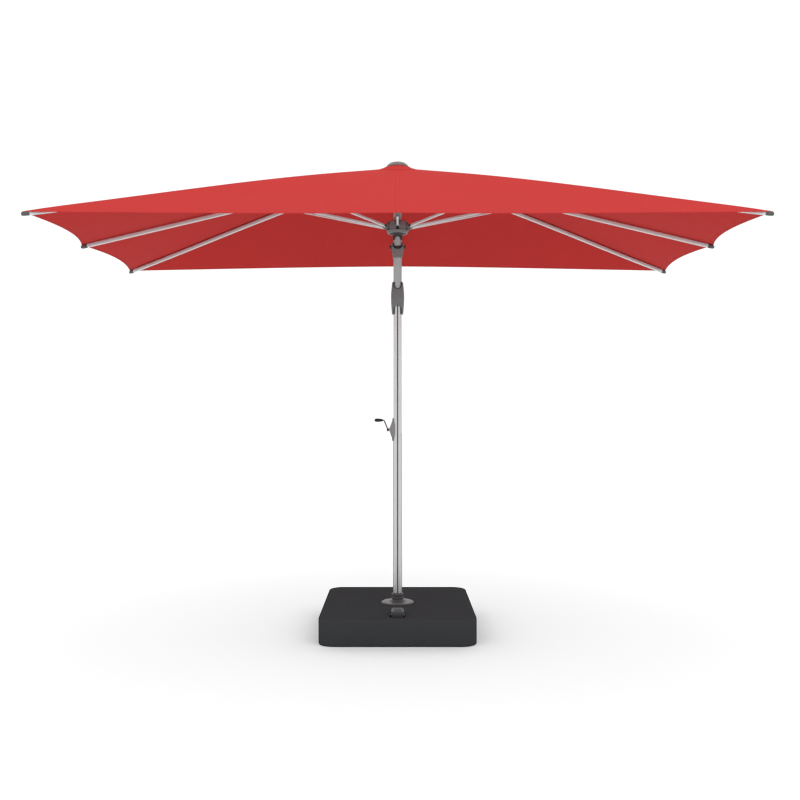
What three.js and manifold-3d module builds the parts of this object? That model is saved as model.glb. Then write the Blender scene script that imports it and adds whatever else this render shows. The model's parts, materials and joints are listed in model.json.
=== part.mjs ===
// Patio umbrella with base: a rectangular centre-pole parasol that opens with a crank.
// Millimetres, +Z up. The origin is on the ground under the mast's axis, -Y is the front and
// the canopy's long side runs along X.
import * as THREE from 'three';
import { mergeVertices } from 'three/addons/utils/BufferGeometryUtils.js';
import Module from 'manifold-3d';

const wasm = await Module();
wasm.setup();

// ---------------------------------------------------------------- driving dimensions
const GAP = 0.3; // between two pieces that touch
const RUNNING_GAP = 0.4; // between a pin and what turns on it
const ROUND_SIDES = 24;
const PIN_SIDES = 10;

// base
const BASE_WIDTH = 816;
const BASE_DEPTH = 900;
const BASE_HEIGHT = 137;
const BASE_CORNER_RADIUS = 80;
const BASE_EDGE_ROUNDING = 6;
const BASE_WALL = 5;
const BASE_GROUND_GAP = 4;
const FOOT_HEIGHT = 8;
const FOOT_RADIUS = 25;
const FRAME_THICKNESS = 5;
const BALLAST_WIDTH = 300;
const BALLAST_FROM_AXIS = 70;
const BALLAST_DEPTH = 780;
const BALLAST_THICKNESS = 16;
const FLANGE_RADIUS = 90;
const FLANGE_THICKNESS = 8;
const HUB_RADIUS = 46;

// foot pedal
const PEDAL_WIDTH = 67;
const PEDAL_LENGTH = 100;
const PEDAL_RISE = 18; // above the base's top
const PEDAL_FRONT = 380; // from the mast's axis to the pedal's front edge
const PEDAL_DEPTH_BELOW = 14;
const PEDAL_PIN_RADIUS = 4;

// mast
const MAST_RADIUS = 24;
const MAST_WALL = 2.5;
const MAST_FLAT_WIDTH = 25;
const MAST_GROOVE_WIDTH = 7;
const MAST_GROOVE_DEPTH = 4;
const LOWER_MAST_LENGTH = 1676;
const TUBE_RADIUS = 23.5;
const TUBE_WALL = 2.5;
const SPIGOT_RADIUS = 11.5;
const SPIGOT_LENGTH = 280;
const KNUCKLE_HEIGHT = 181;
const KNUCKLE_ABOVE_JOINT = 91;

// tilt joint
const KNUCKLE_TO_TILT = 286;
const COLLAR_TOP_RADIUS = 35;
const COLLAR_BOTTOM_WALL = 3;
const COLLAR_ABOVE_AXIS = 23;
const COLLAR_BELOW_AXIS = 61;
const SCOOP_BELOW_AXIS = 12;
const TILT_BOLT_RADIUS = 5;
const TILT_KNOB_RADIUS = 10;
const TILT_KNOB_THICKNESS = 9;

// runner and crown
const TILT_TO_RUNNER = 114;
const RUNNER_TO_CROWN = 293;
const RUNNER_TRAVEL = 950;
const RUNNER_WALL = 10.5;
const RUNNER_HEIGHT = 62;
const RUNNER_EAR_REACH = 30; // from the runner's bore to its strut pivots
const CROWN_PIVOT_OUT = 30.5; // from the tube's surface to the rib pivots
const CROWN_HEIGHT = 38;
const CAP_RADIUS = 65;
const CAP_TOP_RADIUS = 42;
const CAP_HEIGHT = 30;
const HINGE_WIRE_RADIUS = 2;

// crank
const CRANK_BELOW_RUNNER = 183; // from the crank to the runner when it is right down
const CRANK_HOUSING_HEIGHT = 130;
const CRANK_HOUSING_WIDTH = 44;
const CRANK_HOUSING_OUT = 24; // past the mast's surface
const CRANK_RADIUS = 53;
const CRANK_ARM_SLANT = 21; // how far the arm leans away from the mast
const CRANK_ARM_THICKNESS = 8;
const CRANK_SHAFT_RADIUS = 5;
const DRUM_RADIUS = 11;
const GRIP_LENGTH = 48;
const GRIP_RADIUS = 9.5;

// ribs, struts and fabric
const CANOPY_LENGTH = 3500; // between corner tips, along X
const CANOPY_WIDTH = 1694; // between corner tips, along Y
const SIDE_TIP_REACH = 1769; // from the axis to the tip at the middle of a short side
const FRONT_TIP_REACH = 765; // from the axis to the tip at the middle of a long side
const CORNER_DROP = 412; // from the rib pivots down to a corner tip
const SIDE_DROP = 407;
const FRONT_DROP = 399;
const CORNER_BOW = 20; // how far the fabric bends a corner rib
const CLOSED_SLOPE_DEG = 84; // a folded rib's angle below level
const RIB_WIDTH = 14;
const RIB_DEPTH = 20;
const RIB_WALL = 2;
const RIB_STEPS = 8;
const RIB_CAP_LENGTH = 36;
const RIB_CAP_SIDE = 3; // how far a rib's cap stands out past the rib's sides
const RIB_CAP_LIP = 1; // and past its top and bottom
const STRUT_WIDTH = 12;
const STRUT_DEPTH = 11;
const STRUT_EYE_RADIUS = 8;
const STRUT_GAP = 2; // between a rib's underside and the eye of its strut
const SLIDER_ALONG = 590; // along a front or back rib to its strut's sliding bracket
const SLIDER_HALF_LENGTH = 12;
const STRUT_PIN_RADIUS = 3;
const LUG_THICKNESS = 3;
const FABRIC_THICKNESS = 2;
const FABRIC_GAP = 8; // between a rib's top and the fabric
const FABRIC_PEAK = 9; // extra lift under the cap
const FABRIC_PEAK_WIDTH = 120;
const FABRIC_HOLE_RADIUS = 30;
const FABRIC_SHORT = 25; // from a tip back to the fabric's corner
const HEM_HOLLOW = 36; // how far a hem curves in between two tips
const FABRIC_SAG = 10;
const FABRIC_RINGS = 8;
const FABRIC_COLUMNS = 4; // between two ribs

// ---------------------------------------------------------------- worked out from them
const mastFoot = BASE_HEIGHT + 21.3;
const mastTop = mastFoot + LOWER_MAST_LENGTH;
const tiltHeight = mastTop + KNUCKLE_TO_TILT;
const runnerHeight = tiltHeight + TILT_TO_RUNNER;
const crownHeight = runnerHeight + RUNNER_TO_CROWN;
const crankHeight = runnerHeight - RUNNER_TRAVEL - CRANK_BELOW_RUNNER;
const crownRadius = TUBE_RADIUS + CROWN_PIVOT_OUT;
const knobReach = COLLAR_TOP_RADIUS + 1 + TILT_KNOB_THICKNESS;
const strutDrop = RIB_DEPTH / 2 + STRUT_GAP + STRUT_EYE_RADIUS; // below a rib's centreline
const fabricLift = RIB_DEPTH / 2 + FABRIC_GAP + FABRIC_THICKNESS / 2; // above it
const runnerBore = knobReach + 2;
const earRadius = runnerBore + RUNNER_EAR_REACH;
const pedalPinY = -(PEDAL_FRONT - PEDAL_LENGTH) + 10;
const pedalPinZ = BASE_HEIGHT - 4;
const flatY = Math.sqrt(MAST_RADIUS ** 2 - (MAST_FLAT_WIDTH / 2) ** 2);

// ---------------------------------------------------------------- solids
function toSolid(geometry) {
  const bare = geometry.clone();
  bare.deleteAttribute('normal');
  bare.deleteAttribute('uv');
  const merged = mergeVertices(bare, 1e-4);
  const index = merged.index.array;
  const triangles = [];
  for (let i = 0; i < index.length; i += 3) {
    const [a, b, c] = [index[i], index[i + 1], index[i + 2]];
    if (a !== b && b !== c && c !== a) triangles.push(a, b, c);
  }
  const points = merged.attributes.position.array;
  if (signedVolume(points, triangles) < 0) {
    for (let i = 0; i < triangles.length; i += 3) {
      [triangles[i], triangles[i + 1]] = [triangles[i + 1], triangles[i]];
    }
  }
  const mesh = new wasm.Mesh({
    numProp: 3,
    vertProperties: new Float32Array(points),
    triVerts: new Uint32Array(triangles),
  });
  return new wasm.Manifold(mesh);
}

function signedVolume(points, triangles) {
  const [a, b, c] = [new THREE.Vector3(), new THREE.Vector3(), new THREE.Vector3()];
  let volume = 0;
  for (let i = 0; i < triangles.length; i += 3) {
    a.fromArray(points, triangles[i] * 3);
    b.fromArray(points, triangles[i + 1] * 3);
    c.fromArray(points, triangles[i + 2] * 3);
    volume += a.dot(b.cross(c));
  }
  return volume;
}

function toGeometry(solid) {
  const mesh = solid.getMesh();
  const geometry = new THREE.BufferGeometry();
  geometry.setAttribute('position', new THREE.BufferAttribute(mesh.vertProperties, 3));
  geometry.setIndex(new THREE.BufferAttribute(mesh.triVerts, 1));
  geometry.computeVertexNormals();
  return geometry;
}

// The first geometry with the others joined on, then the cuts taken out.
function carve(pieces, cuts = []) {
  const solids = pieces.map(toSolid);
  let whole = solids[0];
  for (const extra of solids.slice(1)) whole = whole.add(extra);
  for (const cut of cuts) whole = whole.subtract(toSolid(cut));
  return toGeometry(whole);
}

// What two or more geometries have in common.
function common(...pieces) {
  const [first, ...rest] = pieces.map(toSolid);
  let whole = first;
  for (const other of rest) whole = whole.intersect(other);
  return toGeometry(whole);
}

// A solid of revolution about Z from [radius, height] corners, closed back to the first.
function turned(corners, sides = ROUND_SIDES) {
  const profile = [...corners, corners[0]].map(([r, z]) => new THREE.Vector2(r, z));
  return new THREE.LatheGeometry(profile, sides).rotateX(Math.PI / 2);
}

function box(low, high) {
  const size = high.map((value, i) => value - low[i]);
  const centre = high.map((value, i) => (value + low[i]) / 2);
  return new THREE.BoxGeometry(...size).translate(...centre);
}

// A rod along X, Y or Z from one place on that axis to another.
function rod(axis, radius, from, to, centre = [0, 0, 0], sides = PIN_SIDES) {
  const geometry = new THREE.CylinderGeometry(radius, radius, to - from, sides);
  if (axis === 'x') geometry.rotateZ(Math.PI / 2);
  if (axis === 'z') geometry.rotateX(Math.PI / 2);
  const place = [...centre];
  place['xyz'.indexOf(axis)] += (from + to) / 2;
  return geometry.translate(...place);
}

// A flat outline in X and Z, as thick as width along Y, centred on the XZ plane.
function upright(outline, width) {
  const settings = { depth: width, bevelEnabled: false, curveSegments: 4 };
  const geometry = new THREE.ExtrudeGeometry(outline, settings);
  return geometry.translate(0, 0, -width / 2).rotateX(Math.PI / 2);
}

function roundedRectangle(width, depth, radius) {
  const [w, d, r] = [width / 2, depth / 2, radius];
  const shape = new THREE.Shape();
  shape.moveTo(-w + r, -d);
  shape.lineTo(w - r, -d);
  shape.absarc(w - r, -d + r, r, -Math.PI / 2, 0);
  shape.absarc(w - r, d - r, r, 0, Math.PI / 2);
  shape.absarc(-w + r, d - r, r, Math.PI / 2, Math.PI);
  shape.absarc(-w + r, -d + r, r, Math.PI, Math.PI * 1.5);
  return shape;
}

// A rounded rectangle from one height to another, with its upper and lower edges rounded.
function slab(width, depth, corner, bottom, top, rounding = 0) {
  const settings = {
    depth: top - bottom - 2 * rounding,
    bevelEnabled: rounding > 0,
    bevelThickness: rounding,
    bevelSize: rounding,
    bevelSegments: 2,
    curveSegments: 6,
  };
  const outline = roundedRectangle(width - 2 * rounding, depth - 2 * rounding, corner - rounding);
  return new THREE.ExtrudeGeometry(outline, settings).translate(0, 0, bottom + rounding);
}

// ---------------------------------------------------------------- finishes and placing
function finish(color, roughness, metalness = 0) {
  return new THREE.MeshStandardMaterial({ color, roughness, metalness });
}

const charcoalPlastic = finish(0x3b3c3f, 0.6);
const darkPlastic = finish(0x4a4a4c, 0.5);
const blackRubber = finish(0x1c1c1d, 0.8);
const greyPlastic = finish(0x6b6b6c, 0.5);
const taupePlastic = finish(0x736663, 0.5);
const silver = finish(0xc9cbcd, 0.3, 0.9);
const steel = finish(0x8f9194, 0.4, 0.9);
const castIron = finish(0x3a3a3b, 0.8, 0.3);
const redFabric = finish(0xd0403e, 0.9);

const umbrella = new THREE.Group();

function add(name, geometry, material, parent = umbrella) {
  const mesh = new THREE.Mesh(geometry, material);
  mesh.name = name;
  parent.add(mesh);
  return mesh;
}

// ---------------------------------------------------------------- base
const frameBottom = FOOT_HEIGHT + GAP;
const frameTop = frameBottom + FRAME_THICKNESS;
const frameWidth = BASE_WIDTH - 2 * BASE_WALL - 10;
const frameDepth = BASE_DEPTH - 2 * BASE_WALL - 10;

function addBase() {
  const inside = slab(
    BASE_WIDTH - 2 * BASE_WALL,
    BASE_DEPTH - 2 * BASE_WALL,
    BASE_CORNER_RADIUS - BASE_WALL,
    BASE_GROUND_GAP - 1,
    BASE_HEIGHT - BASE_WALL,
  );
  const outside = slab(
    BASE_WIDTH,
    BASE_DEPTH,
    BASE_CORNER_RADIUS,
    BASE_GROUND_GAP,
    BASE_HEIGHT,
    BASE_EDGE_ROUNDING,
  );
  const hubHole = rod('z', HUB_RADIUS - 6, BASE_HEIGHT - 20, BASE_HEIGHT + 1, [0, 0, 0], ROUND_SIDES);
  const pedalHole = box(
    [-PEDAL_WIDTH / 2 - 3, -PEDAL_FRONT - 5, BASE_HEIGHT - 20],
    [PEDAL_WIDTH / 2 + 3, pedalPinY + 14, BASE_HEIGHT + 1],
  );
  add('base_shell', carve([outside], [inside, hubHole, pedalHole]), charcoalPlastic);
  const frame = slab(frameWidth, frameDepth, BASE_CORNER_RADIUS - BASE_WALL - 5, frameBottom, frameTop);
  add('base_frame', frame, castIron);
  for (const [side, name] of [[-1, 'left'], [1, 'right']]) {
    const centre = side * (BALLAST_FROM_AXIS + BALLAST_WIDTH / 2);
    const low = [centre - BALLAST_WIDTH / 2, -BALLAST_DEPTH / 2, frameTop + GAP];
    const high = [centre + BALLAST_WIDTH / 2, BALLAST_DEPTH / 2, frameTop + GAP + BALLAST_THICKNESS];
    add(`ballast_plate_${name}`, box(low, high), castIron);
  }
  for (const [sx, sy, name] of [[-1, -1, 'front_left'], [1, -1, 'front_right'],
    [-1, 1, 'back_left'], [1, 1, 'back_right']]) {
    const x = sx * (BASE_WIDTH / 2 - BASE_CORNER_RADIUS);
    const y = sy * (BASE_DEPTH / 2 - BASE_CORNER_RADIUS);
    const foot = turned([[0, 0], [FOOT_RADIUS - 2, 0], [FOOT_RADIUS, FOOT_HEIGHT], [0, FOOT_HEIGHT]], 24);
    add(`base_foot_${name}`, foot, blackRubber).position.set(x, y, 0);
  }
}

function addSwivel() {
  const spigotTop = mastFoot + SPIGOT_LENGTH;
  const plateTop = frameTop + GAP + 8;
  add('mast_spigot', turned([[0, frameTop + GAP], [48, frameTop + GAP], [48, plateTop],
    [SPIGOT_RADIUS + 6, plateTop + 30], [SPIGOT_RADIUS, plateTop + 34], [SPIGOT_RADIUS, spigotTop - 3],
    [SPIGOT_RADIUS - 3, spigotTop], [0, spigotTop]]), steel);
  const low = BASE_HEIGHT + GAP;
  add('foot_flange', turned([[HUB_RADIUS + 1, low], [FLANGE_RADIUS, low],
    [FLANGE_RADIUS, low + 2], [FLANGE_RADIUS - 6, low + FLANGE_THICKNESS - 1],
    [HUB_RADIUS + 14, low + FLANGE_THICKNESS], [HUB_RADIUS + 1, low + FLANGE_THICKNESS]], 40), greyPlastic);
  const bore = SPIGOT_RADIUS + 1;
  const socket = MAST_RADIUS + GAP;
  add('foot_collar', turned([[bore, low], [HUB_RADIUS, low], [HUB_RADIUS, low + 9],
    [HUB_RADIUS - 5, low + 12], [MAST_RADIUS + 12, low + 14], [MAST_RADIUS + 8, low + 22],
    [MAST_RADIUS + 9.5, low + 25], [MAST_RADIUS + 9.5, low + 31], [MAST_RADIUS + 7, low + 33],
    [MAST_RADIUS + 7, low + 39], [MAST_RADIUS + 8.5, low + 41], [MAST_RADIUS + 8.5, low + 47],
    [MAST_RADIUS + 4, low + 55.5], [socket, low + 55.5], [socket, mastFoot - GAP],
    [bore, mastFoot - GAP]]), darkPlastic);
  add('swivel_bush', turned([[SPIGOT_RADIUS + RUNNING_GAP, spigotTop - 50], [14.1, spigotTop - 50],
    [14.1, spigotTop - 10], [SPIGOT_RADIUS + RUNNING_GAP, spigotTop - 10]]), blackRubber);
}

function addPedal() {
  const halfWidth = PEDAL_WIDTH / 2;
  const bracketBottom = BASE_HEIGHT - BASE_WALL - 40;
  const cheek = [halfWidth + 4, halfWidth + 10];
  const bridge = box([-cheek[1], pedalPinY - 12, bracketBottom],
    [cheek[1], pedalPinY + 10, bracketBottom + 6]);
  const cheeks = [-1, 1].map((side) => box(
    [Math.min(side * cheek[0], side * cheek[1]), pedalPinY - 12, bracketBottom],
    [Math.max(side * cheek[0], side * cheek[1]), pedalPinY + 10, BASE_HEIGHT - BASE_WALL - GAP],
  ));
  const leg = box([-10, pedalPinY - 8, frameTop + GAP], [10, pedalPinY + 6, bracketBottom + 3]);
  const pinSpace = rod('x', PEDAL_PIN_RADIUS + GAP, -60, 60, [0, pedalPinY, pedalPinZ - 8]);
  add('pedal_bracket', carve([bridge, ...cheeks, leg], [pinSpace]), steel);
  const pin = rod('x', PEDAL_PIN_RADIUS, -cheek[1] - 2, cheek[1] + 2, [0, pedalPinY, pedalPinZ - 8]);
  add('pedal_pin', pin, steel);

  const outline = new THREE.Shape();
  const [front, back] = [-PEDAL_FRONT, pedalPinY + 10];
  const [low, top] = [BASE_HEIGHT - PEDAL_DEPTH_BELOW, BASE_HEIGHT + PEDAL_RISE];
  outline.moveTo(front + 6, BASE_HEIGHT + 2);
  outline.lineTo(back - 22, low - 4);
  outline.lineTo(back - 4, low - 6);
  outline.lineTo(back, BASE_HEIGHT + 2);
  outline.quadraticCurveTo(back - 6, top, back - 26, top);
  outline.lineTo(front + 22, top - 1);
  outline.quadraticCurveTo(front, top - 3, front, BASE_HEIGHT + 5);
  outline.closePath();
  const pad = upright(outline, PEDAL_WIDTH).rotateZ(Math.PI / 2);
  const eye = rod('x', PEDAL_PIN_RADIUS + RUNNING_GAP, -50, 50, [0, pedalPinY, pedalPinZ - 8], 16);
  add('foot_pedal', carve([pad], [eye]), darkPlastic);
}

// ---------------------------------------------------------------- mast
const mast = new THREE.Group();
const head = new THREE.Group();
umbrella.add(mast, head);

// The round bar with a flat band and a groove at the front and the back, from z = 0 up.
function mastProfile(length) {
  const flat = flatY;
  const round = rod('z', MAST_RADIUS, 0, length, [0, 0, 0], ROUND_SIDES);
  const flats = box([-MAST_RADIUS - 1, -flat, -1], [MAST_RADIUS + 1, flat, length + 1]);
  const inner = MAST_RADIUS - MAST_WALL;
  const innerFlat = flat - MAST_WALL + 0.4;
  const bore = rod('z', inner, -1, length + 1, [0, 0, 0], ROUND_SIDES);
  const boreFlats = box([-inner, -innerFlat, -2], [inner, innerFlat, length + 2]);
  const halfChannel = MAST_GROOVE_WIDTH / 2 + 2;
  const channels = [-1, 1].map((side) => {
    const near = side * (flat - MAST_GROOVE_DEPTH - 2);
    const far = side * (flat + 1);
    return box([-halfChannel, Math.min(near, far), -3], [halfChannel, Math.max(near, far), length + 3]);
  });
  const grooves = [-1, 1].map((side) => {
    const near = side * (flat - MAST_GROOVE_DEPTH);
    const far = side * (flat + 2);
    return box([-MAST_GROOVE_WIDTH / 2, Math.min(near, far), -1],
      [MAST_GROOVE_WIDTH / 2, Math.max(near, far), length + 1]);
  });
  const hollow = carve([common(bore, boreFlats)], channels);
  return { body: common(round, flats), cuts: [hollow, ...grooves] };
}

function addLowerMast() {
  const { body, cuts } = mastProfile(LOWER_MAST_LENGTH - GAP);
  const shaftHole = rod('x', CRANK_SHAFT_RADIUS + 1.5, -MAST_RADIUS - 2, 0, [0, 0, crankHeight - mastFoot]);
  add('lower_mast', carve([body], [...cuts, shaftHole]), silver, mast).position.z = mastFoot;
}

function addKnuckle() {
  const bottom = mastTop + KNUCKLE_ABOVE_JOINT - KNUCKLE_HEIGHT;
  const top = mastTop + KNUCKLE_ABOVE_JOINT;
  const bore = MAST_RADIUS + GAP;
  const shell = turned([[bore, bottom], [MAST_RADIUS + 7, bottom], [MAST_RADIUS + 9, bottom + 4],
    [MAST_RADIUS + 11, bottom + 30], [MAST_RADIUS + 13, bottom + 62], [MAST_RADIUS + 13.5, bottom + 90],
    [MAST_RADIUS + 12.5, bottom + 120], [MAST_RADIUS + 9.5, bottom + 150],
    [MAST_RADIUS + 7.5, top - 4], [MAST_RADIUS + 6, top], [bore, top]]);
  const archHalf = MAST_RADIUS - 1;
  const archTop = bottom + 50;
  const arch = rod('y', archHalf, -60, 60, [0, 0, archTop - archHalf], ROUND_SIDES);
  const archLegs = box([-archHalf, -60, bottom - 5], [archHalf, 60, archTop - archHalf]);
  const scoopBottom = top - 42;
  const scoop = rod('y', archHalf, -60, 0, [0, 0, scoopBottom + archHalf], ROUND_SIDES);
  const scoopTop = box([-archHalf, -60, scoopBottom + archHalf], [archHalf, 0, top + 5]);
  add('knuckle', carve([shell], [arch, archLegs, scoop, scoopTop]), greyPlastic, mast);
  const inner = TUBE_RADIUS - TUBE_WALL;
  const tubeTop = tiltHeight - TUBE_RADIUS - 7;
  add('middle_tube', turned([[inner, mastTop + GAP], [TUBE_RADIUS, mastTop + GAP],
    [TUBE_RADIUS, tubeTop], [inner, tubeTop]]), silver, mast);
}

function addTiltJoint() {
  const cup = TUBE_RADIUS + 1.5;
  const bore = TUBE_RADIUS + GAP;
  const [bottom, top] = [tiltHeight - COLLAR_BELOW_AXIS, tiltHeight + COLLAR_ABOVE_AXIS];
  const seat = tiltHeight - TUBE_RADIUS - 3;
  const shell = turned([[bore, bottom], [bore + COLLAR_BOTTOM_WALL - 1, bottom],
    [bore + COLLAR_BOTTOM_WALL, bottom + 2], [COLLAR_TOP_RADIUS - 2, tiltHeight - 20],
    [COLLAR_TOP_RADIUS, tiltHeight], [COLLAR_TOP_RADIUS, top - 3], [COLLAR_TOP_RADIUS - 3, top],
    [cup, top], [cup, seat], [bore, seat - 2]]);
  const scoopHalf = cup + 1;
  const scoopBottom = tiltHeight - SCOOP_BELOW_AXIS;
  const scoop = rod('y', scoopHalf, -60, 0, [0, 0, scoopBottom + scoopHalf], ROUND_SIDES);
  const scoopTop = box([-scoopHalf, -60, scoopBottom + scoopHalf], [scoopHalf, 0, top + 5]);
  const boltHole = rod('x', TILT_BOLT_RADIUS + GAP, -60, 60, [0, 0, tiltHeight]);
  add('tilt_collar', carve([shell], [scoop, scoopTop, boltHole]), taupePlastic, mast);

  const knobFrom = COLLAR_TOP_RADIUS + 1;
  const at = [0, 0, tiltHeight];
  const bolt = rod('x', TILT_BOLT_RADIUS, -knobFrom - 1, knobFrom + 1, at);
  const knobs = [[-knobReach, -knobFrom], [knobFrom, knobReach]].map(
    ([from, to]) => rod('x', TILT_KNOB_RADIUS, from, to, at, 20),
  );
  add('tilt_bolt', carve([bolt, ...knobs]), darkPlastic, mast);

  const plug = TUBE_RADIUS - TUBE_WALL - GAP;
  const corners = [[0, tiltHeight - TUBE_RADIUS]];
  for (let step = 1; step <= 6; step += 1) {
    const turn = (step / 6) * Math.PI / 2;
    corners.push([TUBE_RADIUS * Math.sin(turn), tiltHeight - TUBE_RADIUS * Math.cos(turn)]);
  }
  corners.push([TUBE_RADIUS, tiltHeight + 6], [plug, tiltHeight + 6], [plug, tiltHeight + 60],
    [0, tiltHeight + 60]);
  const pinSpace = rod('x', TILT_BOLT_RADIUS + RUNNING_GAP, -60, 60, at);
  add('tilt_block', carve([turned(corners)], [pinSpace]), darkPlastic, head);
}

// ---------------------------------------------------------------- crank
const boreFlat = flatY - MAST_GROOVE_DEPTH - 2;
const housingOut = -MAST_RADIUS - CRANK_HOUSING_OUT;
const armFoot = housingOut - 7;
const armTip = armFoot - CRANK_ARM_SLANT;

function addCrank() {
  const half = CRANK_HOUSING_HEIGHT / 2;
  const side = new THREE.Shape();
  side.moveTo(-8, -half);
  side.lineTo(-MAST_RADIUS - 3, -half);
  side.quadraticCurveTo(-MAST_RADIUS - 12, -half + 30, housingOut, -9);
  side.lineTo(housingOut, 9);
  side.quadraticCurveTo(-MAST_RADIUS - 12, half - 30, -MAST_RADIUS - 1, half);
  side.lineTo(-8, half);
  side.closePath();
  const front = new THREE.Shape();
  front.absellipse(0, 0, CRANK_HOUSING_WIDTH / 2, half + 3, 0, Math.PI * 2);
  const wide = upright(side, CRANK_HOUSING_WIDTH + 4);
  const settings = { depth: 80, bevelEnabled: false, curveSegments: 16 };
  const tall = new THREE.ExtrudeGeometry(front, settings).rotateX(Math.PI / 2).rotateZ(-Math.PI / 2);
  const mastSpace = rod('z', MAST_RADIUS + GAP, -half - 10, half + 10, [0, 0, 0], ROUND_SIDES);
  const shaftSpace = rod('x', CRANK_SHAFT_RADIUS + RUNNING_GAP, housingOut - 1, 0, [0, 0, 0], 16);
  const housing = carve([common(wide, tall)], [mastSpace, shaftSpace]);
  add('crank_housing', housing, greyPlastic, mast).position.z = crankHeight;

  const drumHalf = boreFlat - 2;
  const drum = rod('x', DRUM_RADIUS, -drumHalf, drumHalf, [0, 0, 0], 20);
  const winding = turned([[DRUM_RADIUS - 3, -drumHalf + 3], [DRUM_RADIUS + 2, -drumHalf + 3],
    [DRUM_RADIUS + 2, drumHalf - 3], [DRUM_RADIUS - 3, drumHalf - 3]]).rotateY(Math.PI / 2);
  const shaft = rod('x', CRANK_SHAFT_RADIUS, armFoot + 2, -drumHalf + 1);
  add('crank_drum', carve([drum, shaft], [winding]), steel, umbrella).position.z = crankHeight;

  const boss = rod('x', CRANK_ARM_THICKNESS, armFoot - 5, armFoot + 5, [0, 0, 0], 20);
  const arm = new THREE.Shape();
  const halfArm = CRANK_ARM_THICKNESS / 2;
  arm.moveTo(armFoot - halfArm, 0);
  arm.lineTo(armTip - halfArm, CRANK_RADIUS - 3);
  arm.lineTo(armTip - halfArm, CRANK_RADIUS + halfArm);
  arm.lineTo(armTip + 1, CRANK_RADIUS + halfArm);
  arm.lineTo(armTip + halfArm, CRANK_RADIUS - 2);
  arm.lineTo(armFoot + halfArm, 0);
  arm.closePath();
  const bar = upright(arm, CRANK_ARM_THICKNESS + 4);
  const pin = rod('x', CRANK_SHAFT_RADIUS - 2, armTip - GRIP_LENGTH + 4, armTip, [0, 0, CRANK_RADIUS]);
  const socket = rod('x', CRANK_SHAFT_RADIUS + GAP, armFoot + 1, armFoot + 9, [0, 0, 0], PIN_SIDES);
  add('crank_arm', carve([boss, bar, pin], [socket]), darkPlastic, umbrella).position.z = crankHeight;

  const gripStart = armTip - halfArm - 1;
  const grip = turned([[CRANK_SHAFT_RADIUS - 2 + RUNNING_GAP, 0], [GRIP_RADIUS - 3, 0],
    [GRIP_RADIUS - 1, 6], [GRIP_RADIUS, 20], [GRIP_RADIUS, GRIP_LENGTH - 12],
    [GRIP_RADIUS - 2, GRIP_LENGTH - 3], [GRIP_RADIUS - 5, GRIP_LENGTH], [0, GRIP_LENGTH],
    [0, GRIP_LENGTH - 3], [CRANK_SHAFT_RADIUS - 2 + RUNNING_GAP, GRIP_LENGTH - 3]], 20);
  grip.rotateY(-Math.PI / 2).translate(gripStart, 0, crankHeight + CRANK_RADIUS);
  add('crank_grip', grip, blackRubber, umbrella);
}

// ---------------------------------------------------------------- upper tube, runner and crown
const seatRadius = runnerBore - 1.5;
const pulleyHeight = crownHeight - 50;
const crownBottom = crownHeight - CROWN_HEIGHT / 2 - 3;
const crownTop = crownHeight + CROWN_HEIGHT / 2 - 2;

function addUpperTube() {
  const inner = TUBE_RADIUS - TUBE_WALL;
  const bottom = tiltHeight + 6 + GAP;
  const tube = turned([[inner, bottom], [TUBE_RADIUS, bottom], [TUBE_RADIUS, crownTop], [inner, crownTop]]);
  const axleHole = rod('x', 3 + GAP, -60, 60, [0, 0, pulleyHeight]);
  add('upper_tube', carve([tube], [axleHole]), silver, head);

  const skirtBottom = runnerHeight - 77;
  const coneBottom = runnerHeight - 47;
  const bore = TUBE_RADIUS + GAP;
  const seat = turned([[bore, skirtBottom], [bore + 2.7, skirtBottom], [bore + 3.2, coneBottom],
    [bore + 10, coneBottom + 4], [seatRadius, coneBottom + 20], [seatRadius, runnerHeight + 12],
    [seatRadius - 4, runnerHeight + 16], [bore, runnerHeight + 16]]);
  const archHalf = TUBE_RADIUS - 8;
  const arch = rod('y', archHalf, -60, 0, [0, 0, skirtBottom + 3], 24);
  add('runner_seat', carve([seat], [arch]), greyPlastic, head);

  const axle = rod('x', 3, -TUBE_RADIUS - 2, TUBE_RADIUS + 2, [0, 0, pulleyHeight]);
  add('pulley_axle', axle, steel, head);
  const pulley = turned([[3 + RUNNING_GAP, -5], [15, -5], [15, -3.5], [12, 0], [15, 3.5], [15, 5],
    [3 + RUNNING_GAP, 5]], 24);
  pulley.rotateY(Math.PI / 2);
  add('lift_pulley', pulley, darkPlastic, umbrella).position.z = pulleyHeight;
}

const sideAngle = Math.atan2(CANOPY_WIDTH / 2, CANOPY_LENGTH / 2);
const cornerReach = Math.hypot(CANOPY_LENGTH / 2, CANOPY_WIDTH / 2);
const corner = { reach: cornerReach, drop: CORNER_DROP, bow: CORNER_BOW };
const sideMiddle = { reach: SIDE_TIP_REACH, drop: SIDE_DROP, bow: 0 };
const frontMiddle = { reach: FRONT_TIP_REACH, drop: FRONT_DROP, bow: 0, slides: true };
const ribTurns = [
  { name: 'right', turn: 0, ...sideMiddle },
  { name: 'back_right', turn: sideAngle, ...corner },
  { name: 'back', turn: Math.PI / 2, ...frontMiddle },
  { name: 'back_left', turn: Math.PI - sideAngle, ...corner },
  { name: 'left', turn: Math.PI, ...sideMiddle },
  { name: 'front_left', turn: Math.PI + sideAngle, ...corner },
  { name: 'front', turn: Math.PI * 1.5, ...frontMiddle },
  { name: 'front_right', turn: Math.PI * 2 - sideAngle, ...corner },
];

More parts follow.
